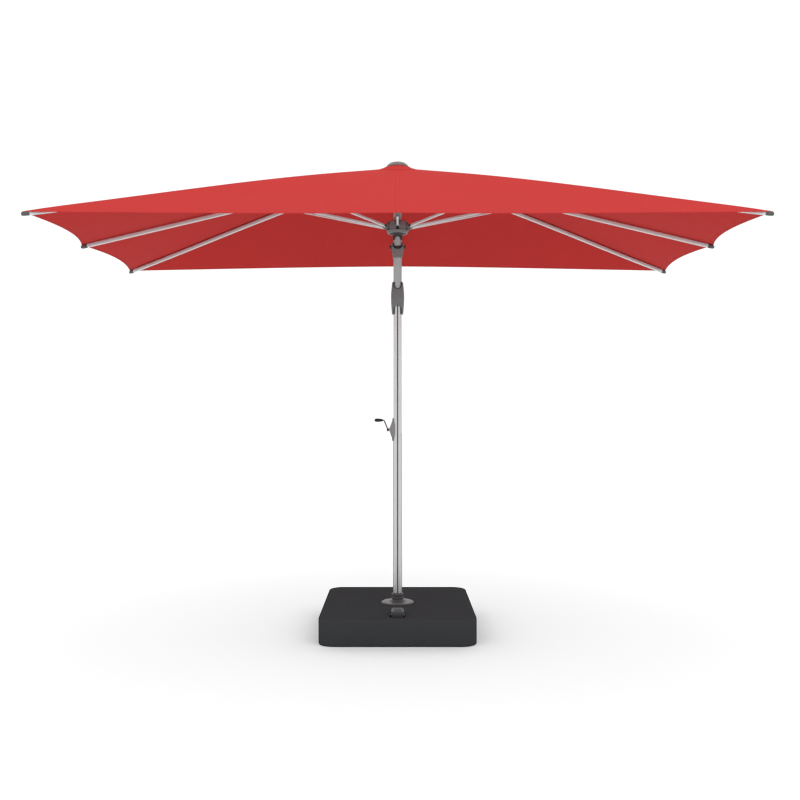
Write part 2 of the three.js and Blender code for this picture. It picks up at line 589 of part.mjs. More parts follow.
function addCrown() {
  const bore = TUBE_RADIUS + GAP;
  const core = crownRadius - RIB_DEPTH / 2 - 2;
  const hub = turned([[bore, crownBottom], [core + 2, crownBottom], [crownRadius + 9, crownHeight - 9],
    [crownRadius + 9, crownTop - 6], [crownRadius + 5, crownTop], [bore, crownTop]], 40);
  const wireSpace = new THREE.TorusGeometry(crownRadius, HINGE_WIRE_RADIUS + GAP, 6, 36);
  const slots = ribTurns.map(({ turn }) => box(
    [core, -RIB_WIDTH / 2 - 0.6, crownBottom - 5],
    [crownRadius + 30, RIB_WIDTH / 2 + 0.6, crownTop + 5],
  ).rotateZ(turn));
  const axleRoom = rod('x', 4, -30, 30, [0, 0, pulleyHeight]);
  const cuts = [wireSpace.translate(0, 0, crownHeight), ...slots, axleRoom];
  add('crown_hub', carve([hub], cuts), darkPlastic, head);
  const wire = new THREE.TorusGeometry(crownRadius, HINGE_WIRE_RADIUS, 6, 36).translate(0, 0, crownHeight);
  add('rib_hinge_wire', wire, steel, head);

  const capBottom = crownHeight + fabricLift + FABRIC_PEAK + FABRIC_THICKNESS + 4;
  const stem = TUBE_RADIUS - TUBE_WALL - GAP;
  const cap = turned([[0, crownTop - 20], [stem, crownTop - 20], [stem, capBottom],
    [CAP_RADIUS - 4, capBottom], [CAP_RADIUS, capBottom + 2], [CAP_RADIUS - 2, capBottom + 8],
    [CAP_RADIUS - 10, capBottom + CAP_HEIGHT * 0.6], [CAP_TOP_RADIUS, capBottom + CAP_HEIGHT],
    [0, capBottom + CAP_HEIGHT]], 40);
  add('crown_cap', cap, taupePlastic, head);
}

function addRunner() {
  const h = RUNNER_HEIGHT / 2;
  const z = runnerHeight;
  const ring = turned([[runnerBore, z - 39], [runnerBore + 4, z - 39], [runnerBore + 16, z - 18],
    [runnerBore + 20, z - 8], [runnerBore + RUNNER_WALL + 1, z - 1], [runnerBore + RUNNER_WALL, z + 4],
    [runnerBore + RUNNER_WALL, z + h - 6], [runnerBore + RUNNER_WALL - 3, z + h - 3],
    [runnerBore, z + h - 3]], 40);
  const halfSlot = STRUT_WIDTH / 2 + 0.6;
  const ears = [];
  const slots = [];
  for (const { turn } of ribTurns) {
    const ear = box([runnerBore + 4, -halfSlot - 5, z - 11], [earRadius + 9, halfSlot + 5, z + 9]);
    ears.push(ear.rotateZ(turn));
    ears.push(rod('y', 5, -halfSlot - 6.5, halfSlot + 6.5, [earRadius, 0, z]).rotateZ(turn));
    slots.push(box([runnerBore + RUNNER_WALL + 0.7, -halfSlot, z - 60], [earRadius + 20, halfSlot, z + 60])
      .rotateZ(turn));
  }
  const shaft = rod('z', runnerBore, z - 60, z + 60, [0, 0, 0], 40);
  add('runner', carve([ring, ...ears], [...slots, shaft]), taupePlastic, umbrella);
}

// ---------------------------------------------------------------- ribs and struts
// Rises to its full height a third of the way along, and is zero at both ends.
const bowAt = (bow, t) => bow * 6.75 * t * (1 - t) ** 2;

// Where the strut's pivot has to be on a rib, so that one strut reaches the runner with the
// canopy open and again with it closed. On a sliding bracket the pivot is free to move instead.
function strutPivot({ bow, slides }, length, open) {
  if (slides) {
    return { along: SLIDER_ALONG, below: strutDrop };
  }
  const closed = THREE.MathUtils.degToRad(CLOSED_SLOPE_DEG);
  const outward = earRadius - crownRadius;
  const openFall = RUNNER_TO_CROWN;
  const closedFall = RUNNER_TO_CROWN + RUNNER_TRAVEL;
  const [c0, s0, c1, s1] = [Math.cos(open), Math.sin(open), Math.cos(closed), Math.sin(closed)];
  let along = length / 3;
  let below = strutDrop;
  for (let pass = 0; pass < 8; pass += 1) {
    below = strutDrop - bowAt(bow, along / length);
    const swing = closedFall * c1 - openFall * c0 - outward * (s1 - s0);
    const top = (closedFall ** 2 - openFall ** 2) / 2 - below * swing;
    along = top / (outward * (c1 - c0) + closedFall * s1 - openFall * s0);
  }
  return { along, below };
}

// A rib's length and slope, and its strut's length and slope, with the canopy open.
function linkage(rib) {
  const run = rib.reach - crownRadius;
  const length = Math.hypot(run, rib.drop);
  const open = Math.atan2(rib.drop, run);
  const { along, below } = strutPivot(rib, length, open);
  const x = along * Math.cos(open) - below * Math.sin(open);
  const z = -along * Math.sin(open) - below * Math.cos(open);
  const outward = earRadius - crownRadius;
  const strut = Math.hypot(x - outward, z + RUNNER_TO_CROWN);
  const strutOpen = Math.atan2(z + RUNNER_TO_CROWN, x - outward);
  return { length, open, along, below, strut, strutOpen, pivotAt: [x, z] };
}

function ribOutline(bow, length, from, to, half) {
  const upper = [];
  const lower = [];
  for (let step = 0; step <= RIB_STEPS; step += 1) {
    const s = from + ((to - from) * step) / RIB_STEPS;
    const w = bowAt(bow, Math.max(0, s / length));
    upper.push(new THREE.Vector2(s, w + half));
    lower.push(new THREE.Vector2(s, w - half));
  }
  return new THREE.Shape([...lower, ...upper.reverse()]);
}

// The bracket that carries a strut along a front or back rib: two cheeks joined under the rib.
function addBracket(name, { along, below }, tilted) {
  const near = RIB_WIDTH / 2 + GAP;
  const far = near + LUG_THICKNESS;
  const bottom = -below - STRUT_EYE_RADIUS - 1;
  const cheeks = [-1, 1].map((side) => box(
    [-SLIDER_HALF_LENGTH, Math.min(side * near, side * far), bottom],
    [SLIDER_HALF_LENGTH, Math.max(side * near, side * far), RIB_DEPTH / 2],
  ));
  const under = -RIB_DEPTH / 2 - GAP;
  const plate = box([-SLIDER_HALF_LENGTH, -near - 1, under - 1.4], [SLIDER_HALF_LENGTH, near + 1, under]);
  const pin = rod('y', STRUT_PIN_RADIUS, -far + 0.5, far - 0.5, [0, 0, -below]);
  add(`rib_bracket_${name}`, carve([...cheeks, plate, pin]), steel, tilted).position.x = along;
}

function addRib(rib) {
  const { name, turn, bow, slides } = rib;
  const link = linkage(rib);
  const { length, along, below } = link;
  const half = RIB_DEPTH / 2;
  const end = length - RIB_CAP_LENGTH;
  const bar = upright(ribOutline(bow, length, -4, end, half), RIB_WIDTH);
  const nose = upright(new THREE.Shape().absellipse(0, 0, half, half, 0, Math.PI * 2), RIB_WIDTH);
  const hollow = upright(ribOutline(bow, length, 26, end + 20, half - RIB_WALL), RIB_WIDTH - 2 * RIB_WALL);
  const wireHole = rod('y', HINGE_WIRE_RADIUS + 1.2, -20, 20);
  const level = bowAt(bow, along / length);
  const inside = STRUT_WIDTH / 2 + GAP;
  const lugs = [-1, 1].map((side) => {
    const [near, far] = [side * inside, side * (inside + LUG_THICKNESS)];
    return box([along - 13, Math.min(near, far), -below - STRUT_EYE_RADIUS - 1],
      [along + 13, Math.max(near, far), level + 4]);
  });
  const outside = inside + LUG_THICKNESS;
  const saddle = box([along - 13, -outside, level - half - 1], [along + 13, outside, level - half + 1]);
  const pin = rod('y', STRUT_PIN_RADIUS, -outside + 0.5, outside - 0.5, [along, 0, -below]);
  const frame = new THREE.Group();
  frame.rotation.z = turn;
  const tilted = new THREE.Group();
  tilted.position.set(crownRadius, 0, crownHeight);
  tilted.rotation.y = link.open;
  umbrella.add(frame);
  frame.add(tilted);
  const held = slides ? [] : [...lugs, saddle, pin];
  add(`rib_${name}`, carve([bar, nose, ...held], [hollow, wireHole]), silver, tilted);
  if (slides) {
    addBracket(name, link, tilted);
  }

  const [capSide, capTop] = [RIB_WIDTH / 2 + RIB_CAP_SIDE, half + RIB_CAP_LIP];
  const block = box([end + GAP, -capSide, -capTop], [length, capSide, capTop]);
  const plugHalf = [RIB_WIDTH / 2 - RIB_WALL - GAP, half - RIB_WALL - GAP - 0.6];
  const plug = box([end - 25, -plugHalf[0], -plugHalf[1]], [end + 2, plugHalf[0], plugHalf[1]]);
  add(`rib_cap_${name}`, carve([block, plug]), darkPlastic, tilted);
  addStrut(name, link, frame);
}

function addStrut(name, { strut, strutOpen, pivotAt }, frame) {
  const eye = STRUT_EYE_RADIUS;
  const half = STRUT_DEPTH / 2;
  const lean = Math.asin(half / eye);
  const outline = new THREE.Shape();
  outline.absarc(0, 0, eye, -Math.PI + lean, Math.PI - lean);
  outline.absarc(-strut, 0, eye, lean, Math.PI * 2 - lean);
  outline.closePath();
  const pinSpace = rod('y', STRUT_PIN_RADIUS + RUNNING_GAP, -20, 20);
  const boltHole = rod('y', STRUT_PIN_RADIUS + RUNNING_GAP, -20, 20, [-strut, 0, 0]);
  const hinged = new THREE.Group();
  hinged.position.set(crownRadius + pivotAt[0], 0, crownHeight + pivotAt[1]);
  hinged.rotation.y = -strutOpen;
  frame.add(hinged);
  add(`strut_${name}`, carve([upright(outline, STRUT_WIDTH)], [pinSpace, boltHole]), silver, hinged);
}

// ---------------------------------------------------------------- canopy
// The point on the fabric over a rib, u of the way from the crown's hole to the rib's tip.
function overRib({ turn, reach, drop, bow }, u) {
  const r = FABRIC_HOLE_RADIUS + u * (reach - FABRIC_SHORT - FABRIC_HOLE_RADIUS);
  const t = Math.max(0, (r - crownRadius) / (reach - crownRadius));
  const lift = fabricLift + FABRIC_PEAK * Math.exp(-Math.max(0, r - crownRadius) / FABRIC_PEAK_WIDTH);
  const z = crownHeight - drop * t + bowAt(bow, t) + lift;
  return new THREE.Vector3(r * Math.cos(turn), r * Math.sin(turn), z);
}

function fabricPoint(sector, v, u) {
  const from = ribTurns[sector % ribTurns.length];
  const to = ribTurns[(sector + 1) % ribTurns.length];
  const point = overRib(from, u).lerp(overRib(to, u), v);
  const across = 4 * v * (1 - v);
  const inward = new THREE.Vector3(point.x, point.y, 0).normalize();
  const hollow = HEM_HOLLOW * Math.min(1, from.reach / to.reach, to.reach / from.reach);
  point.addScaledVector(inward, -hollow * across * u * u);
  point.z -= FABRIC_SAG * across * 4 * u * (1 - u) * u;
  return point;
}

function addCanopy() {
  const columns = ribTurns.length * FABRIC_COLUMNS;
  const positions = [];
  for (const offset of [FABRIC_THICKNESS / 2, -FABRIC_THICKNESS / 2]) {
    for (let ring = 0; ring <= FABRIC_RINGS; ring += 1) {
      const u = (ring / FABRIC_RINGS) ** 1.4;
      for (let column = 0; column < columns; column += 1) {
        const sector = Math.floor(column / FABRIC_COLUMNS);
        const point = fabricPoint(sector, (column % FABRIC_COLUMNS) / FABRIC_COLUMNS, u);
        positions.push(point.x, point.y, point.z + offset);
      }
    }
  }
  const index = [];
  const layer = columns * (FABRIC_RINGS + 1);
  const at = (side, ring, column) => side * layer + ring * columns + (column % columns);
  const quad = (a, b, c, d) => index.push(a, b, c, a, c, d);
  for (let column = 0; column < columns; column += 1) {
    for (let ring = 0; ring < FABRIC_RINGS; ring += 1) {
      quad(at(0, ring, column), at(0, ring + 1, column),
        at(0, ring + 1, column + 1), at(0, ring, column + 1));
      quad(at(1, ring, column + 1), at(1, ring + 1, column + 1),
        at(1, ring + 1, column), at(1, ring, column));
    }
    const rim = FABRIC_RINGS;
    quad(at(1, rim, column), at(1, rim, column + 1), at(0, rim, column + 1), at(0, rim, column));
    quad(at(0, 0, column), at(0, 0, column + 1), at(1, 0, column + 1), at(1, 0, column));
  }
  const geometry = new THREE.BufferGeometry();
  geometry.setAttribute('position', new THREE.Float32BufferAttribute(positions, 3));
  geometry.setIndex(index);
  geometry.computeVertexNormals();
  add('canopy_fabric', geometry, redFabric, head);
}

addBase();
addSwivel();
addPedal();
addLowerMast();
addKnuckle();
addTiltJoint();
addCrank();
addUpperTube();
addCrown();
addRunner();
ribTurns.forEach(addRib);
addCanopy();

export default umbrella;
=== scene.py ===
# %% [markdown]
# # A patio umbrella, built around its CAD frame
# The frame holds every part that moves. This file gives each visible part its finished surface:
# the cloth is worked out on grids with numpy, hard parts are profiles turned round an axis or
# carried along a line, and every finish is a node material.

# %% Load the frame
import json
import math
import bpy
import bmesh
import numpy as np
from mathutils import Matrix


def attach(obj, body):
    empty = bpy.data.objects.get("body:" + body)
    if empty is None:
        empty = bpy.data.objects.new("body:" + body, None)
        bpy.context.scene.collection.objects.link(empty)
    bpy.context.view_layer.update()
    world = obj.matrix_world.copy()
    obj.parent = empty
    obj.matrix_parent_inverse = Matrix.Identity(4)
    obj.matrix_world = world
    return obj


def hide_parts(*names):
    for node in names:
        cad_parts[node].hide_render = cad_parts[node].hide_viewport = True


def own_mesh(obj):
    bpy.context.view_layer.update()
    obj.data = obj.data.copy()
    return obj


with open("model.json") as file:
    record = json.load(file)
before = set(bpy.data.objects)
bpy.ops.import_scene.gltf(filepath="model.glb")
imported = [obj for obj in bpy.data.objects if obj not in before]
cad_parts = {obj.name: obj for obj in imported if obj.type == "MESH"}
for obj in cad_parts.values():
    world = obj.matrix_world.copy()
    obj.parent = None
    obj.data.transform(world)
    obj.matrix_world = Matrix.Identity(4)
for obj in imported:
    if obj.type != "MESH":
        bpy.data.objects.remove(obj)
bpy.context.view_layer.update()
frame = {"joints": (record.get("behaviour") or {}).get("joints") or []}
joint = {j["name"]: j for j in frame["joints"]}
MM = 0.001

# %% [markdown]
# ## Camera and light
# The umbrella is seen from the front at chest height, five metres away, so that the near edge of
# the canopy hides most of the far one. A white world and two weak soft lamps from above give the
# even light of a catalogue studio: the cloth's top is bright and its underside is in soft shade.

# %% Camera
scene = bpy.context.scene
CAMERA_DISTANCE = 5.03
CAMERA_HEIGHT = 1.171
camera_data = bpy.data.cameras.new("camera")
camera_data.sensor_width = 36
camera_data.lens = 40.5
camera_data.shift_x = 0.003
camera_data.shift_y = 0.0215
camera = bpy.data.objects.new("camera", camera_data)
camera.location = (0, -CAMERA_DISTANCE, CAMERA_HEIGHT)
camera.rotation_euler = (math.pi / 2, 0, 0)
scene.collection.objects.link(camera)
scene.camera = camera
scene.view_settings.view_transform = "Standard"

# %% Light
world = bpy.data.worlds.new("studio")
world.use_nodes = True
world.node_tree.nodes["Background"].inputs["Color"].default_value = (1, 1, 1, 1)
world.node_tree.nodes["Background"].inputs["Strength"].default_value = 1.13
scene.world = world


def area_lamp(name, place, aim, size, power):
    """A square soft lamp at a place, turned so that its -Z points at the aim."""
    data = bpy.data.lights.new(name, "AREA")
    data.size, data.energy = size, power
    lamp = bpy.data.objects.new(name, data)
    lamp.location = place
    direction = np.array(aim, float) - np.array(place, float)
    lamp.rotation_euler = (math.acos(-direction[2] / np.linalg.norm(direction)), 0,
                           math.atan2(-direction[0], direction[1]))
    scene.collection.objects.link(lamp)


area_lamp("key_lamp", (3.5, -4.5, 6.5), (0, 0, 1.6), 3.0, 60)
area_lamp("fill_lamp", (-4.0, -4.0, 6.0), (0, 0, 1.6), 3.0, 30)

# %% [markdown]
# ## Shapes from numbers
# Most parts are either turned on a lathe, moulded round or drawn through a die. So two helpers
# make nearly everything: one turns a profile round an axis, the other carries a cross-section
# along a line. Both work out all their points at once as arrays.


# %% Mesh helpers
def grid_faces(rows, columns, wrap_rows=False, wrap_columns=False):
    """Quads of a grid of points stored row after row, joined round where it wraps."""
    r = np.arange(rows if wrap_rows else rows - 1)[:, None]
    c = np.arange(columns if wrap_columns else columns - 1)[None, :]
    r2, c2 = (r + 1) % rows, (c + 1) % columns
    corners = (r * columns + c, r * columns + c2, r2 * columns + c2, r2 * columns + c)
    return np.stack([np.broadcast_to(k, (len(r), c.shape[1])) for k in corners], -1).reshape(-1, 4)


def finish_mesh(name, points, faces, material, sharp_deg=35, closed=True):
    """Puts points and faces into an object; a closed shape gets its normals turned outwards."""
    mesh = bpy.data.meshes.new(name)
    mesh.from_pydata(np.asarray(points).reshape(-1, 3).tolist(), [], np.asarray(faces).tolist())
    if closed:
        work = bmesh.new()
        work.from_mesh(mesh)
        bmesh.ops.remove_doubles(work, verts=work.verts, dist=1e-6)
        bmesh.ops.dissolve_degenerate(work, edges=work.edges, dist=1e-7)
        bmesh.ops.recalc_face_normals(work, faces=work.faces)
        work.to_mesh(mesh)
        work.free()
    mesh.shade_smooth()
    mesh.set_sharp_from_angle(angle=math.radians(sharp_deg))
    piece = bpy.data.objects.new(name, mesh)
    scene.collection.objects.link(piece)
    piece.data.materials.append(material)
    return piece


def turned(name, profile, material, sides=96, axis="z", centre=(0, 0, 0), sharp_deg=35):
    """A closed loop of (radius, height) points turned round an axis through centre."""
    loop = np.array(profile, float) * MM
    angle = np.linspace(0, 2 * np.pi, sides, endpoint=False)[None, :]
    radius, height = loop[:, :1], loop[:, 1:]
    a, b, c = radius * np.cos(angle), radius * np.sin(angle), height + 0 * angle
    order = {"z": (a, b, c), "x": (c, a, b), "y": (b, c, a)}[axis]
    points = np.stack(order, -1) + np.array(centre)
    return finish_mesh(name, points, grid_faces(len(loop), sides, True, True), material, sharp_deg)


def rounded(corners, radius, steps=4):
    """A closed loop of points with each corner replaced by a short arc-like curve."""
    loop = np.array(corners, float)
    before, after = np.roll(loop, 1, 0), np.roll(loop, -1, 0)
    t = np.linspace(0, 1, steps)[None, :, None]

    def toward(other):
        step = other - loop
        length = np.linalg.norm(step, axis=1, keepdims=True)
        reach = np.minimum(radius, 0.45 * length)
        return loop + step / np.maximum(length, 1e-9) * reach

    start, end = toward(before)[:, None], toward(after)[:, None]
    curve = (1 - t) ** 2 * start + 2 * t * (1 - t) * loop[:, None] + t**2 * end
    return curve.reshape(-1, loop.shape[1])


def swept(name, section, path, across, material, scale=1.0, sharp_deg=35):
    """A closed section of (sideways, up) points carried along a path, with flat ends.
    Sideways is the fixed direction `across`; up is at right angles to it and to the path.
    The scale, one number or one for each point, makes the section larger or smaller."""
    path, across = np.asarray(path, float), np.asarray(across, float)
    along = np.gradient(path, axis=0)
    along /= np.linalg.norm(along, axis=1, keepdims=True)
    up = np.cross(along, across)
    up /= np.linalg.norm(up, axis=1, keepdims=True)
    size = (MM * scale * np.ones(len(path)))[:, None, None]
    section = np.array(section, float)[None]
    points = path[:, None] + size * (section[..., :1] * across + section[..., 1:] * up[:, None])
    rows, columns = points.shape[:2]
    faces = grid_faces(rows, columns, False, True).tolist()
    faces.append(list(range(columns)))
    faces.append(list(range((rows - 1) * columns, rows * columns)))
    return finish_ngons(name, points, faces, material, sharp_deg)


def finish_ngons(name, points, faces, material, sharp_deg=35):
    """As finish_mesh, for faces that don't all have the same number of corners."""
    mesh = bpy.data.meshes.new(name)
    mesh.from_pydata(np.asarray(points).reshape(-1, 3).tolist(), [], faces)
    work = bmesh.new()
    work.from_mesh(mesh)
    bmesh.ops.recalc_face_normals(work, faces=work.faces)
    work.to_mesh(mesh)
    work.free()
    mesh.shade_smooth()
    mesh.set_sharp_from_angle(angle=math.radians(sharp_deg))
    piece = bpy.data.objects.new(name, mesh)
    scene.collection.objects.link(piece)
    piece.data.materials.append(material)
    return piece


AXES = {"x": ((0, 1, 0), (0, 0, 1), (1, 0, 0)), "y": ((1, 0, 0), (0, 0, 1), (0, 1, 0)),
        "z": ((1, 0, 0), (0, 1, 0), (0, 0, 1))}


def prism(name, outline, low, high, axis, material, centre=(0, 0, 0)):
    """A flat outline (millimetres) given thickness from low to high along x, y, z, or along the
    third of three given directions."""
    first, second, third = (np.array(d, float) for d in (AXES[axis] if isinstance(axis, str) else axis))
    loop = np.array(outline, float) * MM
    count = len(loop)
    flat = loop[:, :1] * first + loop[:, 1:] * second + np.array(centre, float)
    points = np.concatenate([flat + low * MM * third, flat + high * MM * third])
    faces = [list(range(count)), list(range(count, 2 * count))]
    faces += [[i, (i + 1) % count, (i + 1) % count + count, i + count] for i in range(count)]
    return finish_ngons(name, points, faces, material)


def arc(centre, radius, start_deg, end_deg, steps=12):
    """Points on a circle's arc, in millimetres."""
    angle = np.radians(np.linspace(start_deg, end_deg, steps))
    return np.column_stack([centre[0] + radius * np.cos(angle), centre[1] + radius * np.sin(angle)])


def combine(piece, others, operation):
    """Cuts the others out of the piece, or joins them on, and removes them."""
    for other in others:
        change = piece.modifiers.new("combine", "BOOLEAN")
        change.object, change.operation, change.solver = other, operation, "EXACT"
        bpy.context.view_layer.update()
        result = bpy.data.meshes.new_from_object(piece.evaluated_get(bpy.context.evaluated_depsgraph_get()))
        piece.modifiers.clear()
        piece.data = result
        bpy.data.objects.remove(other)
    piece.data.shade_smooth()
    piece.data.set_sharp_from_angle(angle=math.radians(35))
    return piece


def merge(piece, *others):
    """Joins other pieces' meshes onto the piece; each keeps its own material."""
    with bpy.context.temp_override(active_object=piece, selected_editable_objects=[piece, *others]):
        bpy.ops.object.join()
    return piece


def soften(piece, width_mm, segments=2):
    """Rounds the sharp edges a little, as every moulded or machined edge is."""
    bevel = piece.modifiers.new("soft_edges", "BEVEL")
    bevel.width, bevel.segments, bevel.limit_method = width_mm * MM, segments, "ANGLE"
    bevel.angle_limit = math.radians(40)
    bevel.harden_normals = False
    return piece


def stands_for(piece, body, slot, *nodes):
    """The piece moves with a body and is shown instead of CAD nodes. The slot is not used."""
    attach(piece, body)
    if nodes:
        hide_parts(*nodes)
    return piece

# %% [markdown]
# ## Finishes
# Five small node groups hold what several materials share. `weave` crosses two sets of threads,
# `grain` is the fine texture of a mould, `drawn` is the faint lengthwise streaking of a drawn
# tube, `dust` lightens what faces up, and `stitches` draws a dashed line of thread at a given
# distance from a seam. Each is built once and set differently in each material.


# %% Node group helpers
def new_group(name, inputs, outputs):
    """An empty node group with float inputs (name: default) and typed outputs."""
    group = bpy.data.node_groups.new(name, "ShaderNodeTree")
    for label, value in inputs.items():
        kind = "NodeSocketColor" if isinstance(value, tuple) else "NodeSocketFloat"
        socket = group.interface.new_socket(name=label, in_out="INPUT", socket_type=kind)
        socket.default_value = (*value, 1) if isinstance(value, tuple) else value
    for label, kind in outputs.items():
        group.interface.new_socket(name=label, in_out="OUTPUT", socket_type=kind)
    return group, group.nodes.new("NodeGroupInput"), group.nodes.new("NodeGroupOutput")


def node(tree, kind, **settings):
    """A node with its properties and, where a name matches a socket, its input values set."""
    made = tree.nodes.new(kind)
    for label, value in settings.items():
        if hasattr(made, label):
            setattr(made, label, value)
        else:
            made.inputs[label.replace("_", " ")].default_value = value
    return made


def maths(tree, operation, a, b=0.0):
    """A maths node; a and b are numbers or sockets. Returns the result's socket."""
    made = tree.nodes.new("ShaderNodeMath")
    made.operation = operation
    for slot, value in zip(made.inputs, (a, b)):
        if isinstance(value, (int, float)):
            slot.default_value = value
        else:
            tree.links.new(value, slot)
    return made.outputs[0]


def mixed(tree, factor, a, b):
    """Blends colour a towards colour b; each is a socket or an (r, g, b)."""
    made = tree.nodes.new("ShaderNodeMix")
    made.data_type = "RGBA"
    for slot, value in ((made.inputs[0], factor), (made.inputs[6], a), (made.inputs[7], b)):
        if isinstance(value, (int, float)):
            slot.default_value = value
        elif isinstance(value, tuple):
            slot.default_value = (*value, 1)
        else:
            tree.links.new(value, slot)
    return made.outputs[2]


# %% Shared effects
def build_weave():
    """Two crossed sets of threads: height is the larger of two sine waves at right angles."""
    group, enter, leave = new_group("weave", {"Pitch": 900.0}, {"Height": "NodeSocketFloat",
                                                               "Shade": "NodeSocketFloat"})
    place = group.nodes.new("ShaderNodeUVMap")
    place.uv_map = "cloth"
    split = group.nodes.new("ShaderNodeSeparateXYZ")
    group.links.new(place.outputs[0], split.inputs[0])
    waves = []
    for side in (0, 1):
        angle = maths(group, "MULTIPLY", split.outputs[side], enter.outputs["Pitch"])
        waves.append(maths(group, "SINE", angle))
    crossed = maths(group, "MULTIPLY", waves[0], waves[1])
    height = maths(group, "ADD", maths(group, "MULTIPLY", crossed, 0.5), 0.5)
    group.links.new(height, leave.inputs["Height"])
    thread = node(group, "ShaderNodeTexNoise", Scale=160.0, Detail=2.0)
    group.links.new(place.outputs[0], thread.inputs["Vector"])
    group.links.new(thread.outputs[0], leave.inputs["Shade"])
    return group


def build_grain():
    """Fine bumps of a moulded surface, plus broad faint patches for its colour."""
    group, enter, leave = new_group("grain", {"Scale": 900.0}, {"Height": "NodeSocketFloat",
                                                               "Patches": "NodeSocketFloat"})
    place = group.nodes.new("ShaderNodeTexCoord")
    fine = node(group, "ShaderNodeTexNoise", Detail=3.0)
    broad = node(group, "ShaderNodeTexNoise", Scale=9.0, Detail=3.0)
    group.links.new(enter.outputs["Scale"], fine.inputs["Scale"])
    for texture in (fine, broad):
        group.links.new(place.outputs["Object"], texture.inputs["Vector"])
    group.links.new(fine.outputs[0], leave.inputs["Height"])
    group.links.new(broad.outputs[0], leave.inputs["Patches"])
    return group


def build_drawn():
    """Streaks along one direction: noise squeezed so that it hardly changes along Z."""
    group, enter, leave = new_group("drawn", {"Fineness": 500.0}, {"Streaks": "NodeSocketFloat",
                                                                  "Clouds": "NodeSocketFloat"})
    place = group.nodes.new("ShaderNodeTexCoord")
    squeeze = group.nodes.new("ShaderNodeMapping")
    squeeze.inputs["Scale"].default_value = (1, 1, 0.01)
    streaks = node(group, "ShaderNodeTexNoise", Detail=4.0)
    clouds = node(group, "ShaderNodeTexNoise", Scale=6.0, Detail=2.0)
    group.links.new(place.outputs["Object"], squeeze.inputs["Vector"])
    group.links.new(squeeze.outputs[0], streaks.inputs["Vector"])
    group.links.new(enter.outputs["Fineness"], streaks.inputs["Scale"])
    group.links.new(place.outputs["Object"], clouds.inputs["Vector"])
    group.links.new(streaks.outputs[0], leave.inputs["Streaks"])
    group.links.new(clouds.outputs[0], leave.inputs["Clouds"])
    return group


def build_dust():
    """How much dust lies on a surface: most where it faces up, broken up by noise."""
    group, enter, leave = new_group("dust", {"Amount": 0.3}, {"Mask": "NodeSocketFloat"})
    facing = group.nodes.new("ShaderNodeNewGeometry")
    split = group.nodes.new("ShaderNodeSeparateXYZ")
    group.links.new(facing.outputs["Normal"], split.inputs[0])
    place = group.nodes.new("ShaderNodeTexCoord")
    cloud = node(group, "ShaderNodeTexNoise", Scale=14.0, Detail=5.0)
    group.links.new(place.outputs["Object"], cloud.inputs["Vector"])
    upward = maths(group, "MAXIMUM", split.outputs[2], 0.0)
    broken = maths(group, "MULTIPLY", upward, cloud.outputs[0])
    group.links.new(maths(group, "MULTIPLY", broken, enter.outputs["Amount"]), leave.inputs["Mask"])
    return group


def build_stitches():
    """A dashed thread where a distance in metres is near From: a narrow band times a sine."""
    inputs = {"Distance": 0.0, "Along": 0.0, "From": 0.02, "Width": 0.0011, "Pitch": 900.0}
    group, enter, leave = new_group("stitches", inputs, {"Mask": "NodeSocketFloat"})
    past = maths(group, "SUBTRACT", enter.outputs["Distance"], enter.outputs["From"])
    off = maths(group, "ABSOLUTE", past)
    inside = maths(group, "LESS_THAN", off, enter.outputs["Width"])
    dash = maths(group, "SINE", maths(group, "MULTIPLY", enter.outputs["Along"], enter.outputs["Pitch"]))
    shown = maths(group, "GREATER_THAN", dash, -0.3)
    group.links.new(maths(group, "MULTIPLY", inside, shown), leave.inputs["Mask"])
    return group


EFFECTS = {"weave": build_weave(), "grain": build_grain(), "drawn": build_drawn(),
           "dust": build_dust(), "stitches": build_stitches()}
print("shared effects:", ", ".join(EFFECTS))


# %% Material helpers
def new_material(name, roughness, metallic=0.0, **fixed):
    """A material with one Principled shader whose constants are set on its own sockets."""
    material = bpy.data.materials.new(name)
    material.use_nodes = True
    shader = material.node_tree.nodes["Principled BSDF"]
    shader.inputs["Roughness"].default_value = roughness
    shader.inputs["Metallic"].default_value = metallic
    for label, value in fixed.items():
        shader.inputs[label.replace("_", " ")].default_value = value
    return material, material.node_tree, shader


def effect(tree, name, **values):
    placed = tree.nodes.new("ShaderNodeGroup")
    placed.node_tree = EFFECTS[name]
    for label, value in values.items():
        if isinstance(value, (int, float)):
            placed.inputs[label].default_value = value
        else:
            tree.links.new(value, placed.inputs[label])
    return placed


def bump(tree, shader, height, strength, distance):
    made = node(tree, "ShaderNodeBump", Strength=strength, Distance=distance)
    tree.links.new(height, made.inputs["Height"])
    tree.links.new(made.outputs[0], shader.inputs["Normal"])


def ranged(tree, value, low, high):
    """A 0 to 1 value turned into low to high."""
    return maths(tree, "ADD", maths(tree, "MULTIPLY", value, high - low), low)


# %% [markdown]
# ### Moulded plastic
# The base, knuckle, collars and runner are injection moulded: an even colour with a fine grain,
# slightly uneven gloss, and a little dust on what faces up.


# %% Plastic, rubber and iron
def moulded(name, colour, roughness, grain_depth=0.00008, dust=0.10, scale=900.0, gloss=0.3):
    material, tree, shader = new_material(name, roughness, Specular_IOR_Level=gloss)
    grain = effect(tree, "grain", Scale=scale)
    dusty = effect(tree, "dust", Amount=dust)
    darker = tuple(0.94 * c for c in colour)
    lighter = tuple(min(1, 1.05 * c) for c in colour)
    base = mixed(tree, grain.outputs["Patches"], darker, lighter)
    pale = tuple(0.7 * c + 0.08 for c in colour)
    tree.links.new(mixed(tree, dusty.outputs["Mask"], base, pale), shader.inputs["Base Color"])
    rough = ranged(tree, grain.outputs["Patches"], roughness - 0.08, roughness + 0.08)
    tree.links.new(rough, shader.inputs["Roughness"])
    bump(tree, shader, grain.outputs["Height"], 0.5, grain_depth)
    return material


